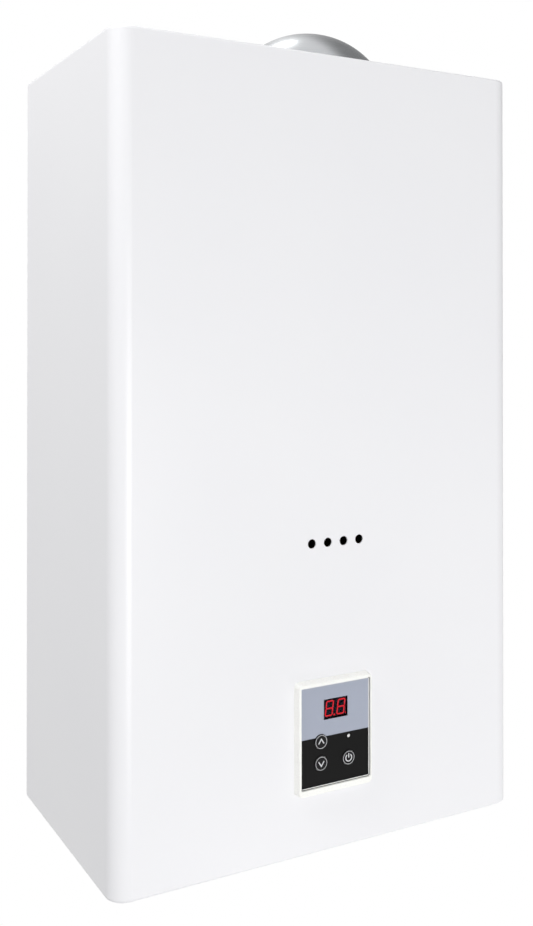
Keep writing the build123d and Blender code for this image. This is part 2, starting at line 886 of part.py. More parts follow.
# Water tubes through the fins and both side walls
with BuildPart() as heat_exchanger_tubes:
    with BuildSketch(Plane.YZ.offset(-tube_reach)):
        with Locations((-mid_depth, tube_z)):
            with GridLocations(tube_pitch, 0, tube_count, 1):
                Circle(tube_radius)
                Circle(tube_bore, mode=Mode.SUBTRACT)
    extrude(amount=2 * tube_reach)
save(heat_exchanger_tubes, "heat_exchanger_tubes")

# Return caps: pressed covers that join the tube ends in pairs, so that the water goes to and fro
with BuildPart() as return_caps:
    for side in (1, -1):
        cap_middle = -mid_depth - side * tube_pitch / 2
        with BuildSketch(Plane.YZ.offset(side * tube_reach)):
            with Locations((cap_middle, tube_z)):
                with GridLocations(2 * tube_pitch, 0, tube_pairs, 1):
                    SlotOverall(tube_pitch + 2 * tube_radius, 2 * tube_radius)
        extrude(amount=side * return_cap_reach)
        with BuildSketch(Plane.YZ.offset(side * tube_reach)):
            with Locations((cap_middle, tube_z)):
                with GridLocations(2 * tube_pitch, 0, tube_pairs, 1):
                    SlotOverall(tube_pitch + 2 * tube_bore, 2 * tube_bore)
        extrude(amount=side * (return_cap_reach - return_cap_wall), mode=Mode.SUBTRACT)
save(return_caps, "return_caps")

# Overheat thermostat on the front of the shell
with BuildPart() as overheat_thermostat:
    with BuildSketch(front_plane(hx_front)):
        with Locations((thermostat_x, tube_z)):
            RectangleRounded(thermostat_width, thermostat_height, thermostat_plate)
    extrude(amount=thermostat_plate)
    with BuildSketch(front_plane(hx_front + thermostat_plate)):
        with Locations((thermostat_x, tube_z)):
            Circle(thermostat_radius)
    extrude(amount=thermostat_can)
save(overheat_thermostat, "overheat_thermostat")

# Support channels between the chassis back and the heat exchanger
with BuildPart() as support_channels:
    for channel_z in (chamber_bottom + channel_inset, hx_top - channel_inset):
        with BuildSketch(Plane.YZ.offset(-channel_length / 2)):
            with Locations((-back_inner, channel_z)):
                Rectangle(hx_rear - back_inner, channel_height, align=(Align.MAX, Align.CENTER))
                Rectangle(
                    hx_rear - back_inner - channel_sheet,
                    channel_height - 2 * channel_sheet,
                    align=(Align.MAX, Align.CENTER),
                    mode=Mode.SUBTRACT,
                )
        extrude(amount=channel_length)
save(support_channels, "support_channels")

# Sight window on the shell behind the cover's four holes
with BuildPart() as sight_window:
    with BuildSketch(front_plane(hx_front)):
        with Locations((sight_x, sight_z)):
            RectangleRounded(window_width + 2 * window_lap, 2 * (window_margin + window_lap), window_lap / 2)
    extrude(amount=window_thick)
save(sight_window, "sight_window")

# Burner tray under the shell, with injector holes in front and air slots below
with BuildPart() as burner_tray:
    with BuildSketch(Plane.XY.offset(tray_bottom)):
        with Locations((0, -mid_depth)):
            Rectangle(hx_width, hx_depth)
    extrude(amount=tray_height)
    with BuildSketch(Plane.XY.offset(tray_floor)):
        with Locations((0, -mid_depth)):
            Rectangle(hx_width - 2 * tray_sheet, hx_depth - 2 * tray_sheet)
    extrude(amount=tray_height, mode=Mode.SUBTRACT)
    with BuildSketch(front_plane(hx_front + overrun)):
        with Locations((0, injector_z)):
            with GridLocations(bar_pitch, 0, bar_count, 1):
                RegularPolygon(injector_hex_radius + fit_gap, bar_bore_sides, major_radius=False)
    extrude(amount=-(tray_sheet + 2 * overrun), mode=Mode.SUBTRACT)
    with BuildSketch(Plane.XY.offset(tray_bottom - overrun)):
        with Locations((0, -mid_depth)):
            with GridLocations(bar_pitch, 0, bar_count - 1, 1):
                Rectangle(air_slot_width, hx_depth - 2 * air_slot_margin)
    extrude(amount=tray_sheet + 2 * overrun, mode=Mode.SUBTRACT)
save(burner_tray, "burner_tray")

# Burner bars: hollow upright blades with a mixing mouth in front, a slim neck and a slotted head
port_pitch = bar_length / port_count
with BuildPart() as burner_bars:
    with BuildSketch(front_plane(bar_front)):
        with GridLocations(bar_pitch, 0, bar_count, 1):
            with Locations((0, tray_floor)):
                Rectangle(bar_neck, bar_top - tray_floor, align=(Align.CENTER, Align.MIN))
            with Locations((0, bar_top)):
                Rectangle(bar_head_width, bar_head_height, align=(Align.CENTER, Align.MAX))
            with Locations((0, injector_z)):
                RegularPolygon(bar_mouth_radius, bar_bore_sides)
    extrude(amount=-bar_length)
    with BuildSketch(front_plane(bar_front - bar_wall)):
        with GridLocations(bar_pitch, 0, bar_count, 1):
            with Locations((0, tray_floor + bar_wall)):
                Rectangle(
                    bar_neck - 2 * bar_wall,
                    bar_top - tray_floor - 2 * bar_wall,
                    align=(Align.CENTER, Align.MIN),
                )
            with Locations((0, bar_top - bar_wall)):
                Rectangle(
                    bar_head_width - 2 * bar_wall,
                    bar_head_height - 2 * bar_wall,
                    align=(Align.CENTER, Align.MAX),
                )
            with Locations((0, injector_z)):
                RegularPolygon(bar_mouth_radius - bar_wall, bar_bore_sides)
    extrude(amount=2 * bar_wall - bar_length, mode=Mode.SUBTRACT)
    with BuildSketch(front_plane(bar_front + overrun)):
        with Locations((0, injector_z)):
            with GridLocations(bar_pitch, 0, bar_count, 1):
                RegularPolygon(bar_bore_radius, bar_bore_sides)
    extrude(amount=-(bar_wall + 2 * overrun), mode=Mode.SUBTRACT)
    with BuildSketch(Plane.XY.offset(bar_top)):
        with Locations((0, -mid_depth)):
            with GridLocations(bar_pitch, port_pitch, bar_count, port_count):
                Rectangle(bar_head_width - 2 * port_margin, port_width)
    extrude(amount=-port_depth, mode=Mode.SUBTRACT)
save(burner_bars, "burner_bars")

# Gas manifold: a square tube across the front of the burner
manifold_length = bar_span + 2 * manifold_overhang
with BuildPart() as gas_manifold:
    with BuildSketch(Plane.YZ.offset(-manifold_length / 2)):
        with Locations((-manifold_depth, injector_z)):
            Rectangle(manifold_size, manifold_size)
    extrude(amount=manifold_length)
    with BuildSketch(Plane.YZ.offset(-manifold_length / 2 + manifold_wall)):
        with Locations((-manifold_depth, injector_z)):
            Rectangle(manifold_size - 2 * manifold_wall, manifold_size - 2 * manifold_wall)
    extrude(amount=manifold_length - 2 * manifold_wall, mode=Mode.SUBTRACT)
    upright_bore(
        gas_x,
        manifold_depth,
        injector_z - manifold_size,
        injector_z,
        gas_pipe_radius - tube_wall,
    )
save(gas_manifold, "gas_manifold")

# Injectors: one nozzle for each burner bar
with BuildPart() as gas_injectors:
    with BuildSketch(front_plane(manifold_rear)):
        with Locations((0, injector_z)):
            with GridLocations(bar_pitch, 0, bar_count, 1):
                RegularPolygon(injector_hex_radius, 6)
    extrude(amount=-injector_hex)
    with BuildSketch(front_plane(manifold_rear - injector_hex)):
        with Locations((0, injector_z)):
            with GridLocations(bar_pitch, 0, bar_count, 1):
                Circle(injector_nose_radius)
    extrude(amount=-injector_nose)
save(gas_injectors, "gas_injectors")

# Electrodes: two spark rods and a flame rod, each in a ceramic with a fixing plate on the shell
electrode_z = chamber_bottom + electrode_rise
electrode_places = [(share * hx_width, electrode_z) for share in electrode_offsets_share]
ceramic_front = hx_front + ceramic_outside
ceramic_back = hx_front - ceramic_inside
with BuildPart() as electrodes:
    with BuildSketch(front_plane(ceramic_back)):
        with Locations(*electrode_places):
            Circle(ceramic_radius)
    extrude(amount=ceramic_front - ceramic_back)
    with BuildSketch(front_plane(hx_front)):
        with Locations(*electrode_places):
            Rectangle(electrode_plate, electrode_plate)
    extrude(amount=electrode_plate_thick)
    with BuildSketch(front_plane(ceramic_back - electrode_rod_inside)):
        with Locations(*electrode_places):
            Circle(electrode_rod_radius)
    extrude(amount=electrode_rod_inside)
    with BuildSketch(front_plane(ceramic_front)):
        with Locations(*electrode_places):
            Circle(electrode_rod_radius)
    extrude(amount=electrode_rod_outside)
save(electrodes, "electrodes")

# Exhaust hood: a tapered cover that gathers the fumes towards the back
hood_top_middle = hx_rear + hood_top_depth / 2
with BuildPart() as exhaust_hood:
    with BuildSketch(Plane.XY.offset(hx_top)):
        with Locations((0, -mid_depth)):
            Rectangle(hx_width, hx_depth)
    with BuildSketch(Plane.XY.offset(hood_top)):
        with Locations((0, -hood_top_middle)):
            Rectangle(hood_top_width, hood_top_depth)
    loft()
    hood_opening = exhaust_hood.faces().sort_by(Axis.Z)[0]
    offset(amount=-hood_sheet, openings=hood_opening)
    with BuildSketch(Plane.XY.offset(hood_top + overrun)):
        with Locations((fan_x, -(inlet_box_back + fan_wall))):
            Rectangle(
                2 * (inlet_box_radius - fan_wall),
                inlet_box_depth - 2 * fan_wall,
                align=(Align.CENTER, Align.MAX),
            )
    extrude(amount=-(hood_sheet + 2 * overrun), mode=Mode.SUBTRACT)
save(exhaust_hood, "exhaust_hood")


def inlet_arch(depth, inset, low):
    # The arched outline of the fan's inlet box, round-topped about the fan axis
    with BuildSketch(front_plane(depth)) as arch:
        with Locations((fan_x, fan_z)):
            Circle(inlet_box_radius - inset)
        with Locations((fan_x, low)):
            Rectangle(2 * (inlet_box_radius - inset), fan_z - low, align=(Align.CENTER, Align.MIN))
    return arch.sketch


# Fan inlet box: carries the fumes from the hood up to the eye in the fan's back
with BuildPart() as fan_inlet_box:
    extrude(inlet_arch(inlet_box_back, 0, hood_top), amount=inlet_box_depth)
    extrude(
        inlet_arch(inlet_box_back + fan_wall, fan_wall, hood_top - overrun),
        amount=inlet_box_depth - 2 * fan_wall,
        mode=Mode.SUBTRACT,
    )
    with BuildSketch(front_plane(fan_back + overrun)):
        with Locations((fan_x, fan_z)):
            Circle(eye_radius)
    extrude(amount=-(fan_wall + 2 * overrun), mode=Mode.SUBTRACT)
save(fan_inlet_box, "fan_inlet_box")


def scroll_face(depth, inset, top):
    # The spiral outline of the fan housing: three quarter arcs that widen into an upright outlet
    corner = (fan_x - scroll_step / 2, fan_z - scroll_step / 2)
    low_centre = (corner[0] + scroll_step, corner[1])
    right_centre = (corner[0] + scroll_step, corner[1] + scroll_step)
    outer_x = right_centre[0] + scroll_radius + 2 * scroll_step - inset
    with BuildSketch(front_plane(depth)) as face:
        with BuildLine():
            first = CenterArc(corner, scroll_radius - inset, 90, 90)
            CenterArc(low_centre, scroll_radius + scroll_step - inset, 180, 90)
            CenterArc(right_centre, scroll_radius + 2 * scroll_step - inset, 270, 90)
            Polyline(
                (outer_x, right_centre[1]),
                (outer_x, top),
                (tongue_x + inset, top),
                (tongue_x + inset, (first @ 0).Y),
                first @ 0,
            )
        make_face()
    return face.sketch


# Fan volute: the spiral wall and back in one pressing, open in front
with BuildPart() as fan_volute:
    extrude(scroll_face(fan_back, 0, outlet_top), amount=plate_back - fan_back)
    extrude(
        scroll_face(fan_back + fan_wall, fan_wall, outlet_top + overrun),
        amount=fan_width,
        mode=Mode.SUBTRACT,
    )
    with BuildSketch(front_plane(fan_back - overrun)):
        with Locations((fan_x, fan_z)):
            Circle(eye_radius)
    extrude(amount=fan_wall + 2 * overrun, mode=Mode.SUBTRACT)
save(fan_volute, "fan_volute")

# Fan motor plate: closes the front of the volute and carries the motor
with BuildPart() as fan_motor_plate:
    extrude(scroll_face(plate_back, 0, outlet_top), amount=fan_wall)
    with BuildSketch(front_plane(plate_back - overrun)):
        with Locations((fan_x, fan_z)):
            Circle(shaft_radius + shaft_hole_gap)
            with PolarLocations(motor_screw_circle, motor_screw_count, start_angle=90):
                Circle(screw_radius + seat_gap)
    extrude(amount=fan_wall + 2 * overrun, mode=Mode.SUBTRACT)
save(fan_motor_plate, "fan_motor_plate")

# Fan motor: a rounded can with an end cap and a shaft bore
motor_end = fan_front + motor_length
with BuildPart() as fan_motor:
    with BuildSketch(front_plane(fan_front)):
        with Locations((fan_x, fan_z)):
            Circle(motor_radius)
    extrude(amount=motor_length)
    fillet(fan_motor.faces().sort_by(Axis.Y)[0].edges(), radius=motor_edge)
    with BuildSketch(front_plane(motor_end)):
        with Locations((fan_x, fan_z)):
            Circle(motor_cap_radius)
    extrude(amount=motor_cap)
    with BuildSketch(front_plane(fan_front)):
        with Locations((fan_x, fan_z)):
            Circle(shaft_radius + running_gap)
    extrude(amount=shaft_in_motor + fit_gap, mode=Mode.SUBTRACT)
    with BuildSketch(front_plane(fan_front)):
        with Locations((fan_x, fan_z)):
            with PolarLocations(motor_screw_circle, motor_screw_count, start_angle=90):
                Circle(screw_radius + seat_gap)
    extrude(amount=motor_screw_grip + fit_gap, mode=Mode.SUBTRACT)
save(fan_motor, "fan_motor")

# Motor screws, put in from inside the volute
with BuildPart() as motor_screws:
    with BuildSketch(front_plane(plate_back)):
        with Locations((fan_x, fan_z)):
            with PolarLocations(motor_screw_circle, motor_screw_count, start_angle=90):
                Circle(screw_head_radius)
    extrude(amount=-screw_head_height)
    with BuildSketch(front_plane(plate_back)):
        with Locations((fan_x, fan_z)):
            with PolarLocations(motor_screw_circle, motor_screw_count, start_angle=90):
                Circle(screw_radius)
    extrude(amount=fan_wall + motor_screw_grip)
save(motor_screws, "motor_screws")

# Fan shaft from the impeller's hub into the motor
hub_back = impeller_front - hub_length
with BuildPart() as fan_shaft:
    with BuildSketch(front_plane(hub_back)):
        with Locations((fan_x, fan_z)):
            Circle(shaft_radius)
    extrude(amount=fan_front + shaft_in_motor - hub_back)
save(fan_shaft, "fan_shaft")

# Fan impeller: a plate with a hub on the motor side, forward-curved blades and a ring at the eye
with BuildSketch() as fan_blade:
    with BuildLine():
        blade_centre = (impeller_inner_radius + blade_thick, blade_bend)
        outer_side = CenterArc(blade_centre, blade_bend + blade_thick / 2, 270, blade_sweep)
        inner_side = CenterArc(blade_centre, blade_bend - blade_thick / 2, 270, blade_sweep)
        Line(outer_side @ 0, inner_side @ 0)
        Line(outer_side @ 1, inner_side @ 1)
    make_face()
with BuildPart() as fan_impeller:
    with BuildSketch(front_plane(impeller_front - impeller_plate)):
        with Locations((fan_x, fan_z)):
            Circle(impeller_radius)
    extrude(amount=impeller_plate)
    with BuildSketch(front_plane(impeller_back)):
        with Locations((fan_x, fan_z)):
            Circle(impeller_radius)
            Circle(impeller_inner_radius, mode=Mode.SUBTRACT)
    extrude(amount=impeller_ring)
    with BuildSketch(front_plane(hub_back)):
        with Locations((fan_x, fan_z)):
            Circle(hub_radius)
    extrude(amount=hub_length)
    with BuildSketch(front_plane(impeller_back)):
        with Locations((fan_x, fan_z)):
            with PolarLocations(0, blade_count):
                add(fan_blade.sketch)
    extrude(amount=impeller_width)
    with BuildSketch(front_plane(hub_back - overrun)):
        with Locations((fan_x, fan_z)):
            Circle(shaft_radius + running_gap)
    extrude(amount=hub_length + 2 * overrun, mode=Mode.SUBTRACT)
save(fan_impeller, "fan_impeller")

# Air pressure switch on the chassis back, with a nipple for its hose
nipple_end = back_inner + pressure_switch_thick + nipple_length
with BuildPart() as air_pressure_switch:
    with BuildSketch(front_plane(back_inner)):
        with Locations((switch_x, hose_z)):
            Circle(pressure_switch_radius)
    extrude(amount=pressure_switch_thick - pressure_switch_step)
    with BuildSketch(front_plane(back_inner)):
        with Locations((switch_x, hose_z)):
            Circle(pressure_switch_radius - pressure_switch_rim)
    extrude(amount=pressure_switch_thick)
    with BuildSketch(front_plane(back_inner)):
        with Locations((switch_x, hose_z)):
            Circle(nipple_radius)
    extrude(amount=nipple_end - back_inner)
save(air_pressure_switch, "air_pressure_switch")

# Pressure hose from the switch's nipple to the volute's wall
pressure_hose = tube_run(
    (
        (switch_x, -nipple_end, hose_z),
        (switch_x, -mid_depth, hose_z),
        (fan_x - scroll_left - seat_gap, -mid_depth, hose_z),
    ),
    hose_bend,
    hose_radius,
    hose_radius - hose_wall,
)
save(pressure_hose, "pressure_hose")

# Cold water inlet fitting
with BuildPart() as water_inlet_fitting:
    fitting_stem(cold_x, cold_depth, neck_top)
    upright_bore(cold_x, cold_depth, thread_end - overrun, neck_top + overrun, fitting_bore_radius)
save(water_inlet_fitting, "water_inlet_fitting")

# Flow sensor: a bored body with a three-armed spider, an axle and a pickup on its side
with BuildPart() as flow_sensor_body:
    upright_disc(cold_x, cold_depth, neck_top, sensor_end, sensor_radius)
    upright_block(
        cold_x,
        cold_depth + sensor_radius,
        spider_top,
        spider_top + pickup_height,
        pickup_width,
        2 * pickup_reach,
    )
    upright_bore(cold_x, cold_depth, neck_top - overrun, sensor_end - sensor_top, sensor_bore_radius)
    upright_bore(cold_x, cold_depth, neck_top, sensor_end + overrun, tube_bore)
    with BuildSketch(Plane.XY.offset(sensor_floor)):
        with Locations((cold_x, -cold_depth)):
            Circle(spider_hub_radius)
            with PolarLocations(0, spider_count):
                Rectangle(
                    sensor_bore_radius + overrun,
                    spider_arm,
                    align=(Align.MIN, Align.CENTER),
                )
    extrude(amount=spider_thick)
    upright_disc(cold_x, cold_depth, spider_top, spider_top + axle_length, axle_radius)
save(flow_sensor_body, "flow_sensor_body")

# Flow rotor: a bladed turbine on the axle
rotor_low = spider_top + fit_gap
with BuildPart() as flow_rotor:
    with Locations((cold_x, -cold_depth, rotor_low + rotor_length / 2)):
        with PolarLocations(0, rotor_blade_count):
            Box(
                rotor_radius,
                rotor_blade,
                rotor_length,
                rotation=(rotor_blade_angle, 0, 0),
                align=(Align.MIN, Align.CENTER, Align.CENTER),
            )
        Cylinder(rotor_radius, rotor_length, mode=Mode.INTERSECT)
        Cylinder(rotor_hub_radius, rotor_length)
        Cylinder(axle_radius + running_gap, rotor_length + overrun, mode=Mode.SUBTRACT)
save(flow_rotor, "flow_rotor")

# Cold pipe from the flow sensor up to the first tube
cold_pipe = tube_run(
    (
        (cold_x, -cold_depth, sensor_end),
        (cold_x, -cold_depth, tube_z),
        (tube_reach, -cold_depth, tube_z),
    ),
    pipe_bend,
    tube_radius,
    tube_bore,
)
save(cold_pipe, "cold_pipe")

# Hot water outlet fitting with a square body for the temperature probe
with BuildPart() as water_outlet_fitting:
    fitting_stem(-hot_x, cold_depth, neck_top)
    upright_block(-hot_x, cold_depth, neck_top, outlet_body_top, outlet_body, outlet_body)
    upright_bore(-hot_x, cold_depth, thread_end - overrun, outlet_body_top + overrun, fitting_bore_radius)
    probe_z = (neck_top + outlet_body_top) / 2
    with BuildSketch(front_plane(cold_depth + outlet_body / 2)):
        with Locations((-hot_x, probe_z)):
            Circle(probe_radius + seat_gap)
    extrude(amount=-outlet_body / 2, mode=Mode.SUBTRACT)
save(water_outlet_fitting, "water_outlet_fitting")

# Outlet temperature probe screwed into the hot outlet's body
with BuildPart() as outlet_temp_sensor:
    with BuildSketch(front_plane(cold_depth + outlet_body / 2)):
        with Locations((-hot_x, probe_z)):
            RegularPolygon(probe_hex_radius, 6)
    extrude(amount=probe_hex)
    with BuildSketch(front_plane(cold_depth + outlet_body / 2)):
        with Locations((-hot_x, probe_z)):
            Circle(probe_radius)
    extrude(amount=-probe_length)
    with BuildSketch(front_plane(cold_depth + outlet_body / 2 + probe_hex)):
        with Locations((-hot_x, probe_z)):
            Circle(probe_radius)
    extrude(amount=probe_head)
save(outlet_temp_sensor, "outlet_temp_sensor")

# Hot pipe from the last tube down to the outlet, set back behind the control box on the way
hot_jog_z = outlet_body_top + hot_jog_rise
hot_pipe = tube_run(
    (
        (-tube_reach, -hot_depth, tube_z),
        (-cold_x, -hot_depth, tube_z),
        (-cold_x, -hot_depth, hot_jog_z + hot_jog_height),
        (-hot_x, -cold_depth, hot_jog_z),
        (-hot_x, -cold_depth, outlet_body_top),
    ),
    pipe_bend,
    tube_radius,
    tube_bore,
)
save(hot_pipe, "hot_pipe")

# Gas inlet fitting
with BuildPart() as gas_inlet_fitting:
    fitting_stem(gas_x, cold_depth, neck_top)
    upright_bore(gas_x, cold_depth, thread_end - overrun, neck_top + overrun, fitting_bore_radius)
save(gas_inlet_fitting, "gas_inlet_fitting")

# Gas valve body: a die casting with a seat chamber, an inlet below and an outlet in front
with BuildPart() as gas_valve_body:
    upright_block(gas_x, cold_depth, neck_top, valve_top, valve_width, valve_depth)
    fillet(gas_valve_body.edges().filter_by(Axis.Z), radius=valve_corner)
    upright_bore(gas_x, cold_depth, chamber_floor, valve_top + overrun, valve_chamber_radius)
    upright_bore(gas_x, cold_depth, neck_top - overrun, chamber_floor + overrun, fitting_bore_radius)
    with BuildSketch(front_plane(valve_front + overrun)):
        with Locations((gas_x, valve_outlet_z)):
            Circle(valve_port_radius)
    extrude(amount=-(valve_depth / 2 + overrun), mode=Mode.SUBTRACT)
save(gas_valve_body, "gas_valve_body")

# Solenoid coil that closes the chamber's top and guides the plunger
with BuildPart() as gas_valve_coil:
    upright_disc(gas_x, cold_depth, valve_top, valve_top + coil_flange, coil_flange_radius)
    upright_disc(gas_x, cold_depth, valve_top, valve_top + coil_height, coil_radius)
    coil_top = valve_top + coil_height
    upright_disc(gas_x, cold_depth, coil_top - coil_flange, coil_top, coil_flange_radius)
    upright_bore(
        gas_x,
        cold_depth,
        valve_top - overrun,
        valve_top + coil_bore,
        plunger_radius + running_gap,
    )
save(gas_valve_coil, "gas_valve_coil")

# Plunger: a rod in the coil with a disc that shuts the seat
with BuildPart() as gas_valve_plunger:
    upright_disc(gas_x, cold_depth, chamber_floor, chamber_floor + plunger_disc, plunger_disc_radius)
    upright_disc(gas_x, cold_depth, chamber_floor, valve_top + plunger_reach, plunger_radius)
save(gas_valve_plunger, "gas_valve_plunger")

# Gas pipe from the valve to the manifold
gas_pipe = tube_run(
    (
        (gas_x, -valve_front, valve_outlet_z),
        (gas_x, -manifold_depth, valve_outlet_z),
        (gas_x, -manifold_depth, injector_z - manifold_size / 2),
    ),
    gas_pipe_bend,
    gas_pipe_radius,
    gas_pipe_radius - tube_wall,
)
save(gas_pipe, "gas_pipe")

# Drain valve body beside the flow sensor, with a side branch to it
drain_hex_bottom = floor_under - drain_hex
drain_top = floor_z + drain_rise
drain_branch_z = drain_top - drain_neck_radius
with BuildPart() as drain_valve_body:
    upright_hex(drain_x, cold_depth, drain_hex_bottom, floor_under, drain_hex_radius)
    upright_disc(drain_x, cold_depth, floor_under, drain_top, drain_neck_radius)
    with BuildSketch(Plane.YZ.offset(drain_x)):
        with Locations((-cold_depth, drain_branch_z)):
            Circle(drain_stub_radius)
    extrude(amount=cold_x - drain_x)
    upright_bore(cold_x, cold_depth, neck_top, sensor_end, sensor_radius + seat_gap)
    upright_bore(
        drain_x,
        cold_depth,
        drain_hex_bottom - overrun,
        drain_hex_bottom + drain_stem + fit_gap,
        drain_stem_radius + running_gap,
    )
save(drain_valve_body, "drain_valve_body")

# Drain knob: a winged knob whose stem turns in the drain valve
knob_top = drain_hex_bottom - fit_gap
with BuildPart() as drain_knob:
    upright_disc(drain_x, cold_depth, knob_top - drain_knob_height, knob_top, drain_knob_radius)
    upright_disc(drain_x, cold_depth, knob_top, drain_hex_bottom + drain_stem, drain_stem_radius)
    upright_block(
        drain_x,
        cold_depth,
        knob_top - drain_knob_height - drain_wing_drop,
        knob_top - drain_wing_drop,
        drain_wing_span,
        drain_wing,
    )
save(drain_knob, "drain_knob")

# Control box standing on the case bottom, with a stepped lid on its front
box_x = -cold_x + tube_radius + box_gap + box_width / 2
box_mid_depth = case_depth - box_front_gap - box_depth / 2
with BuildPart() as control_box:
    upright_block(box_x, box_mid_depth, floor_z, floor_z + box_height, box_width, box_depth)
    fillet(control_box.edges().filter_by(Axis.Z), radius=box_corner)
    with BuildSketch(front_plane(box_mid_depth + box_depth / 2)):
        with Locations((box_x, floor_z + box_height / 2)):
            RectangleRounded(
                box_width - 2 * (box_corner + box_lid_step),
                box_height - 2 * box_lid_step,
                box_corner,
            )
    extrude(amount=box_lid)
save(control_box, "control_box")

# Igniter module standing on the case bottom, with its high-tension posts
with BuildPart() as igniter_module:
    upright_block(igniter_x, box_mid_depth, floor_z, floor_z + igniter_height, igniter_width, igniter_depth)
    fillet(igniter_module.edges().filter_by(Axis.Z), radius=box_corner)
    with BuildSketch(Plane.XY.offset(floor_z + igniter_height)):
        with Locations((igniter_x, -box_mid_depth)):
            with GridLocations(igniter_width / 2, 0, 2, 1):
                Circle(igniter_post_radius)
    extrude(amount=igniter_post)
save(igniter_module, "igniter_module")

# Power supply: a laminated core with its winding
with BuildPart() as power_supply:
    upright_block(supply_x, box_mid_depth, floor_z, floor_z + supply_height, supply_width, supply_coil)
    upright_block(
        supply_x,
        box_mid_depth,
        floor_z + supply_reach,
        floor_z + supply_height - supply_reach,
        supply_width - 2 * supply_reach,
        supply_depth,
    )
save(power_supply, "power_supply")

# Cable gland in the case bottom, with a groove that grips the sheet
with BuildPart() as cable_gland:
    upright_disc(gland_x, cold_depth, floor_under - gland_drop, floor_under, gland_radius)
    upright_disc(gland_x, cold_depth, floor_under, floor_z, gland_neck_radius)
    upright_disc(gland_x, cold_depth, floor_z, floor_z + gland_rim, gland_radius)
    upright_bore(
        gland_x,
        cold_depth,
        floor_under - gland_drop - overrun,
        floor_z + gland_rim + overrun,
        gland_bore_radius,
    )
save(cable_gland, "cable_gland")
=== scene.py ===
import bpy
import bmesh
import json
import math
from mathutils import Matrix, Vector


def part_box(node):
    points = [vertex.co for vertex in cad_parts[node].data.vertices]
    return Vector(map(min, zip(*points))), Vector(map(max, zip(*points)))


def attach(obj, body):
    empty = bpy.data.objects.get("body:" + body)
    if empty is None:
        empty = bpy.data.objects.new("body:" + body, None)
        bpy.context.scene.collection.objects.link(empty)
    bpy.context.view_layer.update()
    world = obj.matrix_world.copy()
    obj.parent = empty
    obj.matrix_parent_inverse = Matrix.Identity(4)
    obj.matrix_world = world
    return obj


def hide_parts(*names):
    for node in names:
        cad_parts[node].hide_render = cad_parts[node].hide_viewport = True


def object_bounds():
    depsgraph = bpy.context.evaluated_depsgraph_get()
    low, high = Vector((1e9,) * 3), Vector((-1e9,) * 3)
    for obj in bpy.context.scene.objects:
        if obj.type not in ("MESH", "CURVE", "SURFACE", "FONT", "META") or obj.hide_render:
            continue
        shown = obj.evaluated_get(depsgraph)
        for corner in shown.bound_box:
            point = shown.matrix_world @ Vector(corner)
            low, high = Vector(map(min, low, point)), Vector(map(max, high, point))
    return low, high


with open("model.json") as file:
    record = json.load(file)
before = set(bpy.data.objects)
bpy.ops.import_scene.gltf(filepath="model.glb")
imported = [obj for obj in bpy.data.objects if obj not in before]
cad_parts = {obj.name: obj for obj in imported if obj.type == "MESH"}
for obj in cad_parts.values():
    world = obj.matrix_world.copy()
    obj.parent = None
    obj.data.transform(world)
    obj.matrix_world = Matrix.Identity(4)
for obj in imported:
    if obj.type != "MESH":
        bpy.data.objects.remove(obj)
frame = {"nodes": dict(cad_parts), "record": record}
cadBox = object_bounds()
nodes = frame["nodes"]
mm = 0.001
print("frame loaded:", len(nodes), "nodes")


# Colour and node helpers

def hexColour(code):
    # an sRGB hex value as linear red, green, blue and alpha
    parts = [int(code[i:i + 2], 16) / 255 for i in (1, 3, 5)]
    linear = [c / 12.92 if c <= 0.04045 else ((c + 0.055) / 1.055) ** 2.4 for c in parts]
    return (*linear, 1.0)


def addNode(tree, kind, settings=None, links=None):
    node = tree.nodes.new(kind)
    for name, value in (settings or {}).items():
        if hasattr(node, str(name)):
            setattr(node, name, value)
        else:
            node.inputs[name].default_value = value
    for socket, source in (links or {}).items():
        tree.links.new(source, node.inputs[socket])
    return node


def newMaterial(name):
    material = bpy.data.materials.new(name)
    material.use_nodes = True
    material.node_tree.nodes.clear()
    return material, material.node_tree


def perMetre(sizeMm):
    return 1.0 / (sizeMm * mm)  # texture scale for a feature of this size


# Powder-coated steel sheet, sprayed and baked: satin white with a faint orange peel
paintLook = {"light": "#F3F3F5", "dark": "#EFEFF2", "cloudMm": 160, "peelMm": 1.8, "peel": 0.05,
             "peelDepthMm": 0.05, "smooth": 0.30, "rough": 0.39}


def paintedSteel():
    material, tree = newMaterial("powderCoatedSteel")
    place = addNode(tree, "ShaderNodeTexCoord")
    cloud = addNode(tree, "ShaderNodeTexNoise", {"Scale": perMetre(paintLook["cloudMm"]), "Detail": 2.0},
                    {"Vector": place.outputs["Object"]})
    tone = addNode(tree, "ShaderNodeMix", {"data_type": "RGBA", 6: hexColour(paintLook["light"]),
                                           7: hexColour(paintLook["dark"])}, {0: cloud.outputs["Fac"]})
    peel = addNode(tree, "ShaderNodeTexNoise", {"Scale": perMetre(paintLook["peelMm"]), "Detail": 1.0},
                   {"Vector": place.outputs["Object"]})
    bump = addNode(tree, "ShaderNodeBump",
                   {"Strength": paintLook["peel"], "Distance": paintLook["peelDepthMm"] * mm},
                   {"Height": peel.outputs["Fac"]})
    gloss = addNode(tree, "ShaderNodeMapRange",
                    {"To Min": paintLook["smooth"], "To Max": paintLook["rough"]},
                    {"Value": peel.outputs["Fac"]})
    shader = addNode(tree, "ShaderNodeBsdfPrincipled", {"IOR": 1.5},
                     {"Base Color": tone.outputs[2], "Roughness": gloss.outputs[0],
                      "Normal": bump.outputs[0]})
    addNode(tree, "ShaderNodeOutputMaterial", None, {"Surface": shader.outputs[0]})
    return material


# Hot-dip galvanised sheet: cool grey metal with a patchwork of zinc spangle
spangleLook = {"light": "#BFC3C6", "dark": "#ABB0B4", "spangleMm": 8, "smooth": 0.34, "rough": 0.52}


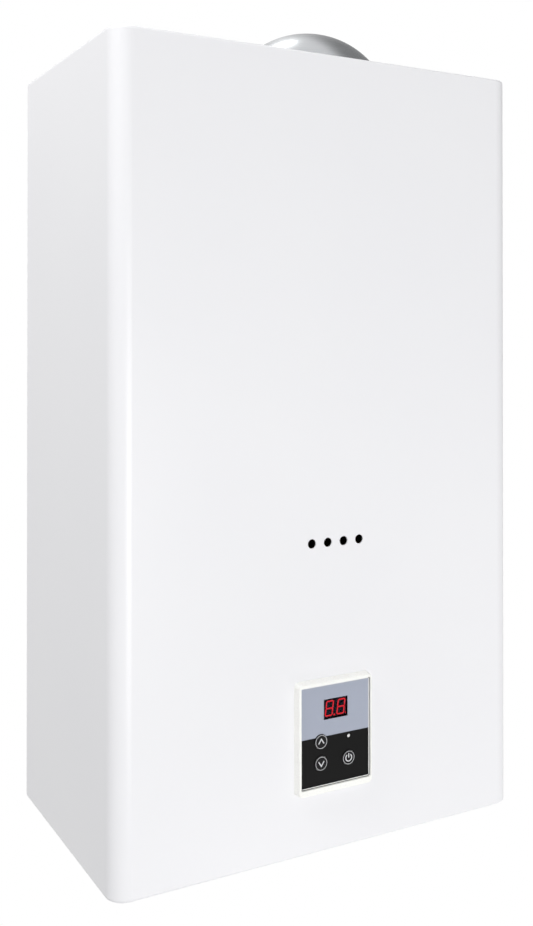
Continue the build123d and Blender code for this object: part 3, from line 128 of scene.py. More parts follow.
def galvanisedSheet():
    material, tree = newMaterial("galvanisedSheet")
    place = addNode(tree, "ShaderNodeTexCoord")
    spangle = addNode(tree, "ShaderNodeTexVoronoi", {"Scale": perMetre(spangleLook["spangleMm"])},
                      {"Vector": place.outputs["Object"]})
    flake = addNode(tree, "ShaderNodeSeparateColor", None, {"Color": spangle.outputs["Color"]})
    tone = addNode(tree, "ShaderNodeMix", {"data_type": "RGBA", 6: hexColour(spangleLook["dark"]),
                                           7: hexColour(spangleLook["light"])}, {0: flake.outputs[0]})
    gloss = addNode(tree, "ShaderNodeMapRange",
                    {"To Min": spangleLook["smooth"], "To Max": spangleLook["rough"]},
                    {"Value": flake.outputs[1]})
    shader = addNode(tree, "ShaderNodeBsdfPrincipled", {"Metallic": 1.0},
                     {"Base Color": tone.outputs[2], "Roughness": gloss.outputs[0]})
    addNode(tree, "ShaderNodeOutputMaterial", None, {"Surface": shader.outputs[0]})
    return material


# Bright zinc-plated screw steel: bluish bright metal with faint clouding
zincLook = {"light": "#D2D5D8", "dark": "#B4B8BC", "cloudMm": 2.5, "detail": 3.0, "smooth": 0.2,
            "rough": 0.36}
# Soft copper: warm orange metal, dulled in patches by heat
copperLook = {"light": "#D98F63", "dark": "#A8623F", "cloudMm": 30, "detail": 4.0, "smooth": 0.25,
              "rough": 0.48}


def cloudedMetal(name, look):
    material, tree = newMaterial(name)
    place = addNode(tree, "ShaderNodeTexCoord")
    cloud = addNode(tree, "ShaderNodeTexNoise",
                    {"Scale": perMetre(look["cloudMm"]), "Detail": look["detail"]},
                    {"Vector": place.outputs["Object"]})
    tone = addNode(tree, "ShaderNodeMix", {"data_type": "RGBA", 6: hexColour(look["dark"]),
                                           7: hexColour(look["light"])}, {0: cloud.outputs["Fac"]})
    gloss = addNode(tree, "ShaderNodeMapRange", {"To Min": look["smooth"], "To Max": look["rough"]},
                    {"Value": cloud.outputs["Fac"]})
    shader = addNode(tree, "ShaderNodeBsdfPrincipled", {"Metallic": 1.0},
                     {"Base Color": tone.outputs[2], "Roughness": gloss.outputs[0]})
    addNode(tree, "ShaderNodeOutputMaterial", None, {"Surface": shader.outputs[0]})
    return material


# Spun stainless steel: bright grey metal with fine turning rings round the flue's axis, which are
# drawn coarser than the tool's real feed so that they show
spunLook = {"light": "#CACCCE", "dark": "#BEC0C3", "ringMm": 1.4, "ring": 0.06, "ringDepthMm": 0.03,
            "smooth": 0.20, "rough": 0.30}


def spunStainless():
    material, tree = newMaterial("spunStainless")
    low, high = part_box("rain_cap")
    axis = (low + high) / 2
    place = addNode(tree, "ShaderNodeTexCoord")
    centred = addNode(tree, "ShaderNodeMapping", {"Location": (-axis.x, -axis.y, 0.0)},
                      {"Vector": place.outputs["Object"]})
    flat = addNode(tree, "ShaderNodeVectorMath", {"operation": "MULTIPLY", 1: (1.0, 1.0, 0.0)},
                   {0: centred.outputs[0]})
    radius = addNode(tree, "ShaderNodeVectorMath", {"operation": "LENGTH"}, {0: flat.outputs[0]})
    rings = addNode(tree, "ShaderNodeTexNoise",
                    {"noise_dimensions": "1D", "Scale": perMetre(spunLook["ringMm"]), "Detail": 3.0},
                    {"W": radius.outputs["Value"]})
    tone = addNode(tree, "ShaderNodeMix", {"data_type": "RGBA", 6: hexColour(spunLook["dark"]),
                                           7: hexColour(spunLook["light"])}, {0: rings.outputs["Fac"]})
    bump = addNode(tree, "ShaderNodeBump",
                   {"Strength": spunLook["ring"], "Distance": spunLook["ringDepthMm"] * mm},
                   {"Height": rings.outputs["Fac"]})
    gloss = addNode(tree, "ShaderNodeMapRange",
                    {"To Min": spunLook["smooth"], "To Max": spunLook["rough"]},
                    {"Value": rings.outputs["Fac"]})
    shader = addNode(tree, "ShaderNodeBsdfPrincipled", {"Metallic": 1.0},
                     {"Base Color": tone.outputs[2], "Roughness": gloss.outputs[0],
                      "Normal": bump.outputs[0]})
    addNode(tree, "ShaderNodeOutputMaterial", None, {"Surface": shader.outputs[0]})
    return material


# Mill-finish steel: darker grey with drawn streaks along the piece
drawnLook = {"light": "#A0A3A6", "dark": "#7C7F82", "streakMm": 12, "stretch": 12.0,
             "smooth": 0.32, "rough": 0.5}


def drawnSteel():
    material, tree = newMaterial("drawnSteel")
    place = addNode(tree, "ShaderNodeTexCoord")
    drawn = addNode(tree, "ShaderNodeMapping",
                    {"Scale": (1.0, drawnLook["stretch"], drawnLook["stretch"])},
                    {"Vector": place.outputs["Object"]})
    streak = addNode(tree, "ShaderNodeTexNoise", {"Scale": perMetre(drawnLook["streakMm"]), "Detail": 4.0},
                     {"Vector": drawn.outputs[0]})
    tone = addNode(tree, "ShaderNodeMix", {"data_type": "RGBA", 6: hexColour(drawnLook["dark"]),
                                           7: hexColour(drawnLook["light"])}, {0: streak.outputs["Fac"]})
    gloss = addNode(tree, "ShaderNodeMapRange",
                    {"To Min": drawnLook["smooth"], "To Max": drawnLook["rough"]},
                    {"Value": streak.outputs["Fac"]})
    shader = addNode(tree, "ShaderNodeBsdfPrincipled", {"Metallic": 1.0},
                     {"Base Color": tone.outputs[2], "Roughness": gloss.outputs[0]})
    addNode(tree, "ShaderNodeOutputMaterial", None, {"Surface": shader.outputs[0]})
    return material


# Forged and turned brass: yellow metal with dull patches and a tool texture, coarse enough to show
brassLook = {"light": "#D2AE6B", "dark": "#A98548", "patchMm": 14, "toolMm": 1.6, "tool": 0.15,
             "toolDepthMm": 0.05, "smooth": 0.24, "rough": 0.44}


def turnedBrass():
    material, tree = newMaterial("turnedBrass")
    place = addNode(tree, "ShaderNodeTexCoord")
    patch = addNode(tree, "ShaderNodeTexNoise", {"Scale": perMetre(brassLook["patchMm"]), "Detail": 3.0},
                    {"Vector": place.outputs["Object"]})
    tone = addNode(tree, "ShaderNodeMix", {"data_type": "RGBA", 6: hexColour(brassLook["dark"]),
                                           7: hexColour(brassLook["light"])}, {0: patch.outputs["Fac"]})
    gloss = addNode(tree, "ShaderNodeMapRange",
                    {"To Min": brassLook["smooth"], "To Max": brassLook["rough"]},
                    {"Value": patch.outputs["Fac"]})
    tool = addNode(tree, "ShaderNodeTexNoise", {"Scale": perMetre(brassLook["toolMm"]), "Detail": 2.0},
                   {"Vector": place.outputs["Object"]})
    bump = addNode(tree, "ShaderNodeBump",
                   {"Strength": brassLook["tool"], "Distance": brassLook["toolDepthMm"] * mm},
                   {"Height": tool.outputs["Fac"]})
    shader = addNode(tree, "ShaderNodeBsdfPrincipled", {"Metallic": 1.0},
                     {"Base Color": tone.outputs[2], "Roughness": gloss.outputs[0],
                      "Normal": bump.outputs[0]})
    addNode(tree, "ShaderNodeOutputMaterial", None, {"Surface": shader.outputs[0]})
    return material


# Die-cast aluminium: pale grey metal with a cast grain, coarse enough to show
castLook = {"light": "#C4C6C7", "dark": "#A9ABAC", "grainMm": 0.9, "grain": 0.3, "grainDepthMm": 0.08,
            "rough": 0.5}


def castAluminium():
    material, tree = newMaterial("castAluminium")
    place = addNode(tree, "ShaderNodeTexCoord")
    grain = addNode(tree, "ShaderNodeTexNoise", {"Scale": perMetre(castLook["grainMm"]), "Detail": 2.0},
                    {"Vector": place.outputs["Object"]})
    tone = addNode(tree, "ShaderNodeMix", {"data_type": "RGBA", 6: hexColour(castLook["dark"]),
                                           7: hexColour(castLook["light"])}, {0: grain.outputs["Fac"]})
    bump = addNode(tree, "ShaderNodeBump",
                   {"Strength": castLook["grain"], "Distance": castLook["grainDepthMm"] * mm},
                   {"Height": grain.outputs["Fac"]})
    shader = addNode(tree, "ShaderNodeBsdfPrincipled", {"Metallic": 1.0, "Roughness": castLook["rough"]},
                     {"Base Color": tone.outputs[2], "Normal": bump.outputs[0]})
    addNode(tree, "ShaderNodeOutputMaterial", None, {"Surface": shader.outputs[0]})
    return material


# Moulded ABS: an even colour with slight gloss changes and a spark-eroded grain, coarser than the real
# tenth of a millimetre so that it shows
whiteAbs = {"light": "#FFFFFB", "dark": "#FBFBF7", "cloudMm": 20, "grainMm": 0.8, "grain": 0.03,
            "grainDepthMm": 0.04, "smooth": 0.23, "rough": 0.34, "specular": 0.5}
blackAbs = {"light": "#161617", "dark": "#0E0E0F", "cloudMm": 20, "grainMm": 0.6, "grain": 0.12,
            "grainDepthMm": 0.04, "smooth": 0.37, "rough": 0.48, "specular": 0.15}
greyAbs = {"light": "#9A9C9F", "dark": "#8A8C8F", "cloudMm": 20, "grainMm": 0.6, "grain": 0.12,
           "grainDepthMm": 0.04, "smooth": 0.40, "rough": 0.51, "specular": 0.5}


def mouldedPlastic(name, look):
    material, tree = newMaterial(name)
    place = addNode(tree, "ShaderNodeTexCoord")
    cloud = addNode(tree, "ShaderNodeTexNoise", {"Scale": perMetre(look["cloudMm"]), "Detail": 2.0},
                    {"Vector": place.outputs["Object"]})
    tone = addNode(tree, "ShaderNodeMix", {"data_type": "RGBA", 6: hexColour(look["dark"]),
                                           7: hexColour(look["light"])}, {0: cloud.outputs["Fac"]})
    fine = addNode(tree, "ShaderNodeTexNoise", {"Scale": perMetre(look["grainMm"]), "Detail": 1.0},
                   {"Vector": place.outputs["Object"]})
    bump = addNode(tree, "ShaderNodeBump",
                   {"Strength": look["grain"], "Distance": look["grainDepthMm"] * mm},
                   {"Height": fine.outputs["Fac"]})
    gloss = addNode(tree, "ShaderNodeMapRange", {"To Min": look["smooth"], "To Max": look["rough"]},
                    {"Value": fine.outputs["Fac"]})
    shader = addNode(tree, "ShaderNodeBsdfPrincipled",
                     {"IOR": 1.5, "Specular IOR Level": look["specular"]},
                     {"Base Color": tone.outputs[2], "Roughness": gloss.outputs[0],
                      "Normal": bump.outputs[0]})
    addNode(tree, "ShaderNodeOutputMaterial", None, {"Surface": shader.outputs[0]})
    return material


# Printed polycarbonate film: matt print in slate blue over black, inside a pale band round its edge
filmLook = {"slate": "#A9AFBE", "black": "#0D0D0D", "margin": "#F0F0EE", "marginMm": 0.6, "splitMm": 36.4,
            "grainMm": 0.5, "grain": 0.06, "grainDepthMm": 0.02, "smooth": 0.40, "rough": 0.50,
            "specular": 0.08}


def printedFilm():
    material, tree = newMaterial("printedPolycarbonate")
    low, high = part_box("panel_overlay")
    middle = (low + high) / 2
    half = (high - low) / 2
    edge = filmLook["marginMm"] * mm
    place = addNode(tree, "ShaderNodeTexCoord")
    apart = addNode(tree, "ShaderNodeSeparateXYZ", None, {0: place.outputs["Object"]})
    upper = addNode(tree, "ShaderNodeMath",
                    {"operation": "GREATER_THAN", 1: low.z + filmLook["splitMm"] * mm},
                    {0: apart.outputs["Z"]})
    inkTone = addNode(tree, "ShaderNodeMix", {"data_type": "RGBA", 6: hexColour(filmLook["black"]),
                                              7: hexColour(filmLook["slate"])}, {0: upper.outputs[0]})
    across = addNode(tree, "ShaderNodeMath", {"operation": "COMPARE", 1: middle.x, 2: half.x - edge},
                     {0: apart.outputs["X"]})
    along = addNode(tree, "ShaderNodeMath", {"operation": "COMPARE", 1: middle.z, 2: half.z - edge},
                    {0: apart.outputs["Z"]})
    inside = addNode(tree, "ShaderNodeMath", {"operation": "MINIMUM"},
                     {0: across.outputs[0], 1: along.outputs[0]})
    tone = addNode(tree, "ShaderNodeMix", {"data_type": "RGBA", 6: hexColour(filmLook["margin"])},
                   {0: inside.outputs[0], 7: inkTone.outputs[2]})
    grain = addNode(tree, "ShaderNodeTexNoise", {"Scale": perMetre(filmLook["grainMm"]), "Detail": 1.0},
                    {"Vector": place.outputs["Object"]})
    bump = addNode(tree, "ShaderNodeBump",
                   {"Strength": filmLook["grain"], "Distance": filmLook["grainDepthMm"] * mm},
                   {"Height": grain.outputs["Fac"]})
    gloss = addNode(tree, "ShaderNodeMapRange",
                    {"To Min": filmLook["smooth"], "To Max": filmLook["rough"]},
                    {"Value": grain.outputs["Fac"]})
    shader = addNode(tree, "ShaderNodeBsdfPrincipled",
                     {"IOR": 1.58, "Specular IOR Level": filmLook["specular"]},
                     {"Base Color": tone.outputs[2], "Roughness": gloss.outputs[0],
                      "Normal": bump.outputs[0]})
    addNode(tree, "ShaderNodeOutputMaterial", None, {"Surface": shader.outputs[0]})
    return material


# Smoked acrylic: a dark clear window that hides the display until it is lit
smokeLook = {"tint": "#8A90A6", "wipeMm": 6, "smooth": 0.02, "rough": 0.07, "specular": 0.2}


def smokedAcrylic():
    material, tree = newMaterial("smokedAcrylic")
    place = addNode(tree, "ShaderNodeTexCoord")
    wipe = addNode(tree, "ShaderNodeTexNoise", {"Scale": perMetre(smokeLook["wipeMm"]), "Detail": 2.0},
                   {"Vector": place.outputs["Object"]})
    gloss = addNode(tree, "ShaderNodeMapRange",
                    {"To Min": smokeLook["smooth"], "To Max": smokeLook["rough"]},
                    {"Value": wipe.outputs["Fac"]})
    shader = addNode(tree, "ShaderNodeBsdfPrincipled",
                     {"Base Color": hexColour(smokeLook["tint"]), "IOR": 1.49, "Transmission Weight": 1.0,
                      "Specular IOR Level": smokeLook["specular"]}, {"Roughness": gloss.outputs[0]})
    addNode(tree, "ShaderNodeOutputMaterial", None, {"Surface": shader.outputs[0]})
    return material


# Milky light pipe: translucent white plastic, clouded inside
lampLook = {"light": "#F0F0EE", "dark": "#DEDEDC", "cloudMm": 0.8, "detail": 2.0, "rough": 0.25, "ior": 1.49}
# Glazed alumina: glossy ivory ceramic with a slight mottle
aluminaLook = {"light": "#F1EEE4", "dark": "#E3DECF", "cloudMm": 3, "detail": 3.0, "rough": 0.18, "ior": 1.6}
# Screen-printed ink: flat pale grey with slight unevenness in the coverage
inkLook = {"light": "#DCDDE0", "dark": "#CACBCE", "cloudMm": 0.4, "detail": 2.0, "rough": 0.55, "ior": 1.5}


def cloudedSolid(name, look):
    material, tree = newMaterial(name)
    place = addNode(tree, "ShaderNodeTexCoord")
    cloud = addNode(tree, "ShaderNodeTexNoise",
                    {"Scale": perMetre(look["cloudMm"]), "Detail": look["detail"]},
                    {"Vector": place.outputs["Object"]})
    tone = addNode(tree, "ShaderNodeMix", {"data_type": "RGBA", 6: hexColour(look["dark"]),
                                           7: hexColour(look["light"])}, {0: cloud.outputs["Fac"]})
    shader = addNode(tree, "ShaderNodeBsdfPrincipled", {"Roughness": look["rough"], "IOR": look["ior"]},
                     {"Base Color": tone.outputs[2]})
    addNode(tree, "ShaderNodeOutputMaterial", None, {"Surface": shader.outputs[0]})
    return material


# Glass-epoxy circuit board: green solder mask over a weave, drawn coarser than the real one so that it
# shows. The wave's bands repeat at about a third of this size.
boardLook = {"light": "#2C6A3F", "dark": "#1F4A2C", "weaveMm": 4.8, "waver": 0.4, "rough": 0.35}


def circuitBoard():
    material, tree = newMaterial("solderMaskBoard")
    place = addNode(tree, "ShaderNodeTexCoord")
    weave = addNode(tree, "ShaderNodeTexWave",
                    {"Scale": perMetre(boardLook["weaveMm"]), "Distortion": boardLook["waver"]},
                    {"Vector": place.outputs["Object"]})
    tone = addNode(tree, "ShaderNodeMix", {"data_type": "RGBA", 6: hexColour(boardLook["dark"]),
                                           7: hexColour(boardLook["light"])}, {0: weave.outputs["Fac"]})
    shader = addNode(tree, "ShaderNodeBsdfPrincipled", {"Roughness": boardLook["rough"], "IOR": 1.5},
                     {"Base Color": tone.outputs[2]})
    addNode(tree, "ShaderNodeOutputMaterial", None, {"Surface": shader.outputs[0]})
    return material


# Silicone rubber: dull dark grey with a dusty bloom
rubberLook = {"light": "#38383A", "dark": "#232324", "bloomMm": 8, "smooth": 0.6, "rough": 0.8}


def dustyRubber():
    material, tree = newMaterial("siliconeRubber")
    place = addNode(tree, "ShaderNodeTexCoord")
    bloom = addNode(tree, "ShaderNodeTexNoise", {"Scale": perMetre(rubberLook["bloomMm"]), "Detail": 4.0},
                    {"Vector": place.outputs["Object"]})
    tone = addNode(tree, "ShaderNodeMix", {"data_type": "RGBA", 6: hexColour(rubberLook["dark"]),
                                           7: hexColour(rubberLook["light"])}, {0: bloom.outputs["Fac"]})
    gloss = addNode(tree, "ShaderNodeMapRange",
                    {"To Min": rubberLook["smooth"], "To Max": rubberLook["rough"]},
                    {"Value": bloom.outputs["Fac"]})
    shader = addNode(tree, "ShaderNodeBsdfPrincipled", {"IOR": 1.45},
                     {"Base Color": tone.outputs[2], "Roughness": gloss.outputs[0]})
    addNode(tree, "ShaderNodeOutputMaterial", None, {"Surface": shader.outputs[0]})
    return material


# Sheet mica: brownish layered window, part see-through
micaLook = {"light": "#4E3B28", "dark": "#281C12", "layerMm": 10, "rough": 0.3, "clear": 0.4}


def sheetMica():
    material, tree = newMaterial("sheetMica")
    place = addNode(tree, "ShaderNodeTexCoord")
    layers = addNode(tree, "ShaderNodeTexNoise", {"Scale": perMetre(micaLook["layerMm"]), "Detail": 5.0},
                     {"Vector": place.outputs["Object"]})
    tone = addNode(tree, "ShaderNodeMix", {"data_type": "RGBA", 6: hexColour(micaLook["dark"]),
                                           7: hexColour(micaLook["light"])}, {0: layers.outputs["Fac"]})
    shader = addNode(tree, "ShaderNodeBsdfPrincipled",
                     {"Roughness": micaLook["rough"], "IOR": 1.58,
                      "Transmission Weight": micaLook["clear"]}, {"Base Color": tone.outputs[2]})
    addNode(tree, "ShaderNodeOutputMaterial", None, {"Surface": shader.outputs[0]})
    return material


# Lit display segments: red light, a little uneven along each bar
segmentLook = {"light": "#F02424", "dark": "#E01618", "unlit": "#5A0A0C", "glowMm": 1.5, "glow": 3.8,
               "rough": 0.4}


def litSegment():
    material, tree = newMaterial("litRedSegment")
    place = addNode(tree, "ShaderNodeTexCoord")
    glow = addNode(tree, "ShaderNodeTexNoise", {"Scale": perMetre(segmentLook["glowMm"]), "Detail": 1.0},
                   {"Vector": place.outputs["Object"]})
    tone = addNode(tree, "ShaderNodeMix", {"data_type": "RGBA", 6: hexColour(segmentLook["dark"]),
                                           7: hexColour(segmentLook["light"])}, {0: glow.outputs["Fac"]})
    shader = addNode(tree, "ShaderNodeBsdfPrincipled",
                     {"Base Color": hexColour(segmentLook["unlit"]), "Roughness": segmentLook["rough"],
                      "Emission Strength": segmentLook["glow"]}, {"Emission Color": tone.outputs[2]})
    addNode(tree, "ShaderNodeOutputMaterial", None, {"Surface": shader.outputs[0]})
    return material


slotMaterials = {
    "white_painted_steel": paintedSteel(),
    "galvanised_steel": galvanisedSheet(),
    "plated_screw_steel": cloudedMetal("zincPlatedSteel", zincLook),
    "stainless_steel": spunStainless(),
    "bare_steel": drawnSteel(),
    "copper": cloudedMetal("heatedCopper", copperLook),
    "brass": turnedBrass(),
    "cast_aluminium": castAluminium(),
    "white_plastic": mouldedPlastic("whiteAbs", whiteAbs),
    "printed_overlay": printedFilm(),
    "smoked_acrylic": smokedAcrylic(),
    "black_plastic": mouldedPlastic("blackAbs", blackAbs),
    "grey_plastic": mouldedPlastic("greyAbs", greyAbs),
    "lamp_plastic": cloudedSolid("milkyLightPipe", lampLook),
    "circuit_board": circuitBoard(),
    "rubber": dustyRubber(),
    "white_ceramic": cloudedSolid("glazedAlumina", aluminaLook),
    "mica": sheetMica(),
}
ink = cloudedSolid("screenPrintedInk", inkLook)
redLight = litSegment()
for part in frame["record"]["subparts"]:
    mesh = nodes[part["node"]].data
    mesh.materials.clear()
    mesh.materials.append(slotMaterials[part["material_slot"]])


# Modelling helpers: each works on the active piece

nearEnd = 0.9  # past this share of a length, a point counts as its end
smoothAngle = math.radians(30)  # edges that turn more than this stay sharp


def clearSelection():
    if bpy.context.object and bpy.context.object.mode != "OBJECT":
        bpy.ops.object.mode_set(mode="OBJECT")
    bpy.ops.object.select_all(action="DESELECT")


def pickFaces(test):
    bpy.ops.mesh.select_mode(type="FACE")
    mesh = bmesh.from_edit_mesh(bpy.context.object.data)
    for face in mesh.faces:
        face.select_set(test(face.calc_center_median(), face.normal))
    mesh.select_flush_mode()
    bmesh.update_edit_mesh(bpy.context.object.data)


def pickEdges(test):
    bpy.ops.mesh.select_mode(type="EDGE")
    bpy.ops.mesh.select_all(action="DESELECT")
    mesh = bmesh.from_edit_mesh(bpy.context.object.data)
    for edge in mesh.edges:
        edge.select_set(test((edge.verts[0].co + edge.verts[1].co) / 2))
    bmesh.update_edit_mesh(bpy.context.object.data)


def pickPoints(test):
    bpy.ops.mesh.select_mode(type="VERT")
    bpy.ops.mesh.select_all(action="DESELECT")
    mesh = bmesh.from_edit_mesh(bpy.context.object.data)
    for point in mesh.verts:
        point.select_set(test(point.co))
    mesh.select_flush_mode()
    bmesh.update_edit_mesh(bpy.context.object.data)


def facesUp(middle, normal):
    return normal.z > 0.5


def facesDown(middle, normal):
    return normal.z < -0.5


def settle(piece):
    # place and turn go into the mesh, so the object sits at the origin
    clearSelection()
    piece.select_set(True)
    bpy.context.view_layer.objects.active = piece
    bpy.ops.object.transform_apply(location=True, rotation=True, scale=True)


def thicken(piece, thickness):
    wall = piece.modifiers.new("wall", "SOLIDIFY")
    wall.thickness = thickness
    wall.offset = 1.0
    bpy.context.view_layer.objects.active = piece
    bpy.ops.object.modifier_apply(modifier="wall")


def joinPieces(pieces, name):
    clearSelection()
    for piece in pieces:
        piece.select_set(True)
    bpy.context.view_layer.objects.active = pieces[0]
    if len(pieces) > 1:
        bpy.ops.object.join()
    whole = bpy.context.object
    whole.name = name
    whole.data.name = name
    return whole


def setCopy(piece, place, turn):
    # a copy with its own mesh, turned and set in its place
    twin = piece.copy()
    twin.data = piece.data.copy()
    bpy.context.scene.collection.objects.link(twin)
    twin.location = place
    twin.rotation_euler = turn
    settle(twin)
    return twin


def finishPiece(piece, material, body):
    piece.data.materials.clear()
    piece.data.materials.append(material)
    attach(piece, body)


facingFront = (math.pi / 2, 0.0, 0.0)  # turns a flat piece to face the room

# Printed marks on the keys: a ring on each, an arrow on two and a power sign on the third. The sign's
# gap is half its opening, in radians.
keyMarks = {"ringOuterMm": 4.95, "ringLineMm": 0.32, "ringSides": 72, "inkMm": 0.06,
            "arrowWidthMm": 5.4, "arrowRiseMm": 4.0, "arrowLineMm": 1.5,
            "signRadiusMm": 3.0, "signLineMm": 0.8, "signGap": 0.62, "barMm": 3.3, "barSteps": 3}


def keyFace(node):
    low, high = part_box(node)
    return Vector(((low.x + high.x) / 2, low.y, (low.z + high.z) / 2))


def inkRing(place, outer, line):
    clearSelection()
    bpy.ops.mesh.primitive_circle_add(vertices=keyMarks["ringSides"], radius=outer, fill_type="NGON",
                                      location=place, rotation=facingFront)
    ring = bpy.context.object
    settle(ring)
    bpy.ops.object.mode_set(mode="EDIT")
    bpy.ops.mesh.select_all(action="SELECT")
    bpy.ops.mesh.inset(thickness=line)
    bpy.ops.mesh.delete(type="FACE")
    bpy.ops.object.mode_set(mode="OBJECT")
    return ring


def inkArrow(place, turn):
    half = keyMarks["arrowWidthMm"] * mm / 2
    rise = keyMarks["arrowRiseMm"] * mm * turn
    line = keyMarks["arrowLineMm"] * mm
    start = place + Vector((-half / 2, 0, -rise / 2))
    clearSelection()
    bpy.ops.mesh.primitive_plane_add(size=1.0, location=start, rotation=facingFront)
    arrow = bpy.context.object
    arrow.scale = (half, line, 1.0)
    settle(arrow)
    bpy.ops.object.mode_set(mode="EDIT")
    pickEdges(lambda middle: middle.x > place.x - (1 - nearEnd) * half)
    bpy.ops.transform.translate(value=(0, 0, rise))
    bpy.ops.mesh.extrude_edges_move(TRANSFORM_OT_translate={"value": (half, 0, -rise)})
    slide = line * abs(rise) / (half ** 2 + rise ** 2)  # cuts each foot square to its arm
    for side in (-1, 1):
        pickPoints(lambda spot: (spot.x - place.x) * side > nearEnd * half
                   and (spot.z - start.z) * turn < 0)
        bpy.ops.transform.translate(value=(-side * slide * half, 0, slide * rise))
    bpy.ops.mesh.select_all(action="SELECT")
    bpy.ops.mesh.normals_make_consistent(inside=False)
    bpy.ops.object.mode_set(mode="OBJECT")
    if arrow.data.polygons[0].normal.y > 0:
        arrow.data.flip_normals()
    return arrow


def inkPowerSign(place):
    line = keyMarks["signLineMm"] * mm
    bar = keyMarks["barMm"] * mm
    sign = inkRing(place, keyMarks["signRadiusMm"] * mm, line)
    bpy.ops.object.mode_set(mode="EDIT")
    gap = keyMarks["signGap"]
    pickFaces(lambda middle, normal: abs(math.atan2(middle.x - place.x, middle.z - place.z)) < gap)
    bpy.ops.mesh.delete(type="FACE")
    bpy.ops.object.mode_set(mode="OBJECT")
    clearSelection()
    barMiddle = place + Vector((0, 0, bar / 2))
    bpy.ops.mesh.primitive_plane_add(size=1.0, location=barMiddle, rotation=facingFront)
    stroke = bpy.context.object
    stroke.scale = (line, bar, 1.0)
    settle(stroke)
    bpy.ops.object.mode_set(mode="EDIT")
    bpy.ops.mesh.select_all(action="SELECT")
    rounding = line / 3  # at the stroke's ends
    bpy.ops.mesh.bevel(offset=rounding, segments=keyMarks["barSteps"], affect="VERTICES")
    bpy.ops.object.mode_set(mode="OBJECT")
    return joinPieces([sign, stroke], "powerSign")


def buildKeyPrint(node, body, mark):
    face = keyFace(node)
    ring = inkRing(face, keyMarks["ringOuterMm"] * mm, keyMarks["ringLineMm"] * mm)
    symbol = inkPowerSign(face) if mark == "power" else inkArrow(face, 1 if mark == "up" else -1)
    keyPrint = joinPieces([ring, symbol], mark + "KeyPrint")
    thicken(keyPrint, keyMarks["inkMm"] * mm)
    finishPiece(keyPrint, ink, body)


buildKeyPrint("button_up", "up_key", "up")
buildKeyPrint("button_down", "down_key", "down")
buildKeyPrint("button_power", "power_key", "power")
print("key prints done")

# Two seven-segment digits with points, on the face of the display module
digits = {"widthMm": 6.9, "heightMm": 11.6, "barMm": 0.95, "pitchMm": 10.2, "slant": 0.13, "gapMm": 0.12,
          "cornerShare": 0.42, "pointMm": 1.5, "pointGapMm": 0.82, "pointSides": 20, "depthMm": 0.1,
          "shiftMm": 0.15}


def segmentBar(length):
    clearSelection()
    bpy.ops.mesh.primitive_plane_add(size=1.0, rotation=facingFront)
    bar = bpy.context.object
    bar.scale = (length, digits["barMm"] * mm, 1.0)
    settle(bar)
    bpy.ops.object.mode_set(mode="EDIT")
    bpy.ops.mesh.select_all(action="SELECT")
    bpy.ops.mesh.bevel(offset=digits["barMm"] * mm * digits["cornerShare"], affect="VERTICES")
    bpy.ops.object.mode_set(mode="OBJECT")
    return bar


def segmentPoint():
    clearSelection()
    bpy.ops.mesh.primitive_circle_add(vertices=digits["pointSides"], radius=digits["pointMm"] * mm / 2,
                                      fill_type="NGON", rotation=facingFront)
    point = bpy.context.object
    settle(point)
    return point


def buildDigits():
    low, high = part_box("display_module")
    face = Vector(((low.x + high.x) / 2 + digits["shiftMm"] * mm, low.y, (low.z + high.z) / 2))
    across = (digits["widthMm"] - digits["barMm"]) * mm
    upright = (digits["heightMm"] - digits["barMm"]) * mm / 2
    flatBar = segmentBar(across - 2 * digits["gapMm"] * mm)
    tallBar = segmentBar(upright - 2 * digits["gapMm"] * mm)
    point = segmentPoint()
    reach = (digits["widthMm"] + digits["pointMm"]) / 2 + digits["pointGapMm"]
    aside = reach * mm - upright * digits["slant"]
    bars = []
    for side in (-0.5, 0.5):
        centre = face + Vector((side * digits["pitchMm"] * mm, 0, 0))
        for level in (-1, 0, 1):
            rise = level * upright
            bars.append(setCopy(flatBar, centre + Vector((rise * digits["slant"], 0, rise)), (0, 0, 0)))
        for edge in (-0.5, 0.5):
            for level in (-0.5, 0.5):
                rise = level * upright
                lean = edge * across + rise * digits["slant"]
                turn = (0, math.pi / 2 + digits["slant"], 0)
                bars.append(setCopy(tallBar, centre + Vector((lean, 0, rise)), turn))
        bars.append(setCopy(point, centre + Vector((aside, 0, -upright)), (0, 0, 0)))
    for master in (flatBar, tallBar, point):
        bpy.data.objects.remove(master)
    lit = joinPieces(bars, "displayDigits")
    thicken(lit, digits["depthMm"] * mm)
    finishPiece(lit, redLight, "heater")


buildDigits()
print("display digits done")

# Painted shade: a dark strip in the rubber's colour, laid in the gap between the printed film and the bezel
# a little below the film's face, standing in for the shadow in that gap
gapShadeStrip = {"gapMm": 0.5, "cornerMm": 1.5, "cornerSteps": 6, "sinkMm": 0.1, "depthMm": 0.4}


def buildGapShadeStrip():
    low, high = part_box("panel_overlay")
    gap = gapShadeStrip["gapMm"] * mm
    depth = gapShadeStrip["depthMm"] * mm
    place = ((low.x + high.x) / 2, low.y + gapShadeStrip["sinkMm"] * mm + depth, (low.z + high.z) / 2)
    clearSelection()
    bpy.ops.mesh.primitive_plane_add(size=1.0, location=place, rotation=facingFront)
    shadeStrip = bpy.context.object
    shadeStrip.scale = (high.x - low.x + 2 * gap, high.z - low.z + 2 * gap, 1.0)
    settle(shadeStrip)
    bpy.ops.object.mode_set(mode="EDIT")
    bpy.ops.mesh.select_all(action="SELECT")
    bpy.ops.mesh.bevel(offset=gapShadeStrip["cornerMm"] * mm, segments=gapShadeStrip["cornerSteps"],
                       affect="VERTICES")
    bpy.ops.mesh.select_all(action="SELECT")
    bpy.ops.mesh.inset(thickness=gap)
    bpy.ops.mesh.delete(type="FACE")
    bpy.ops.object.mode_set(mode="OBJECT")
    ring = joinPieces([shadeStrip], "gapShadeStrip")
    thicken(ring, depth)
    # the strip's dark rubber colour is painted shade for the gap
    finishPiece(ring, slotMaterials["rubber"], "heater")


buildGapShadeStrip()
print("film bead done")

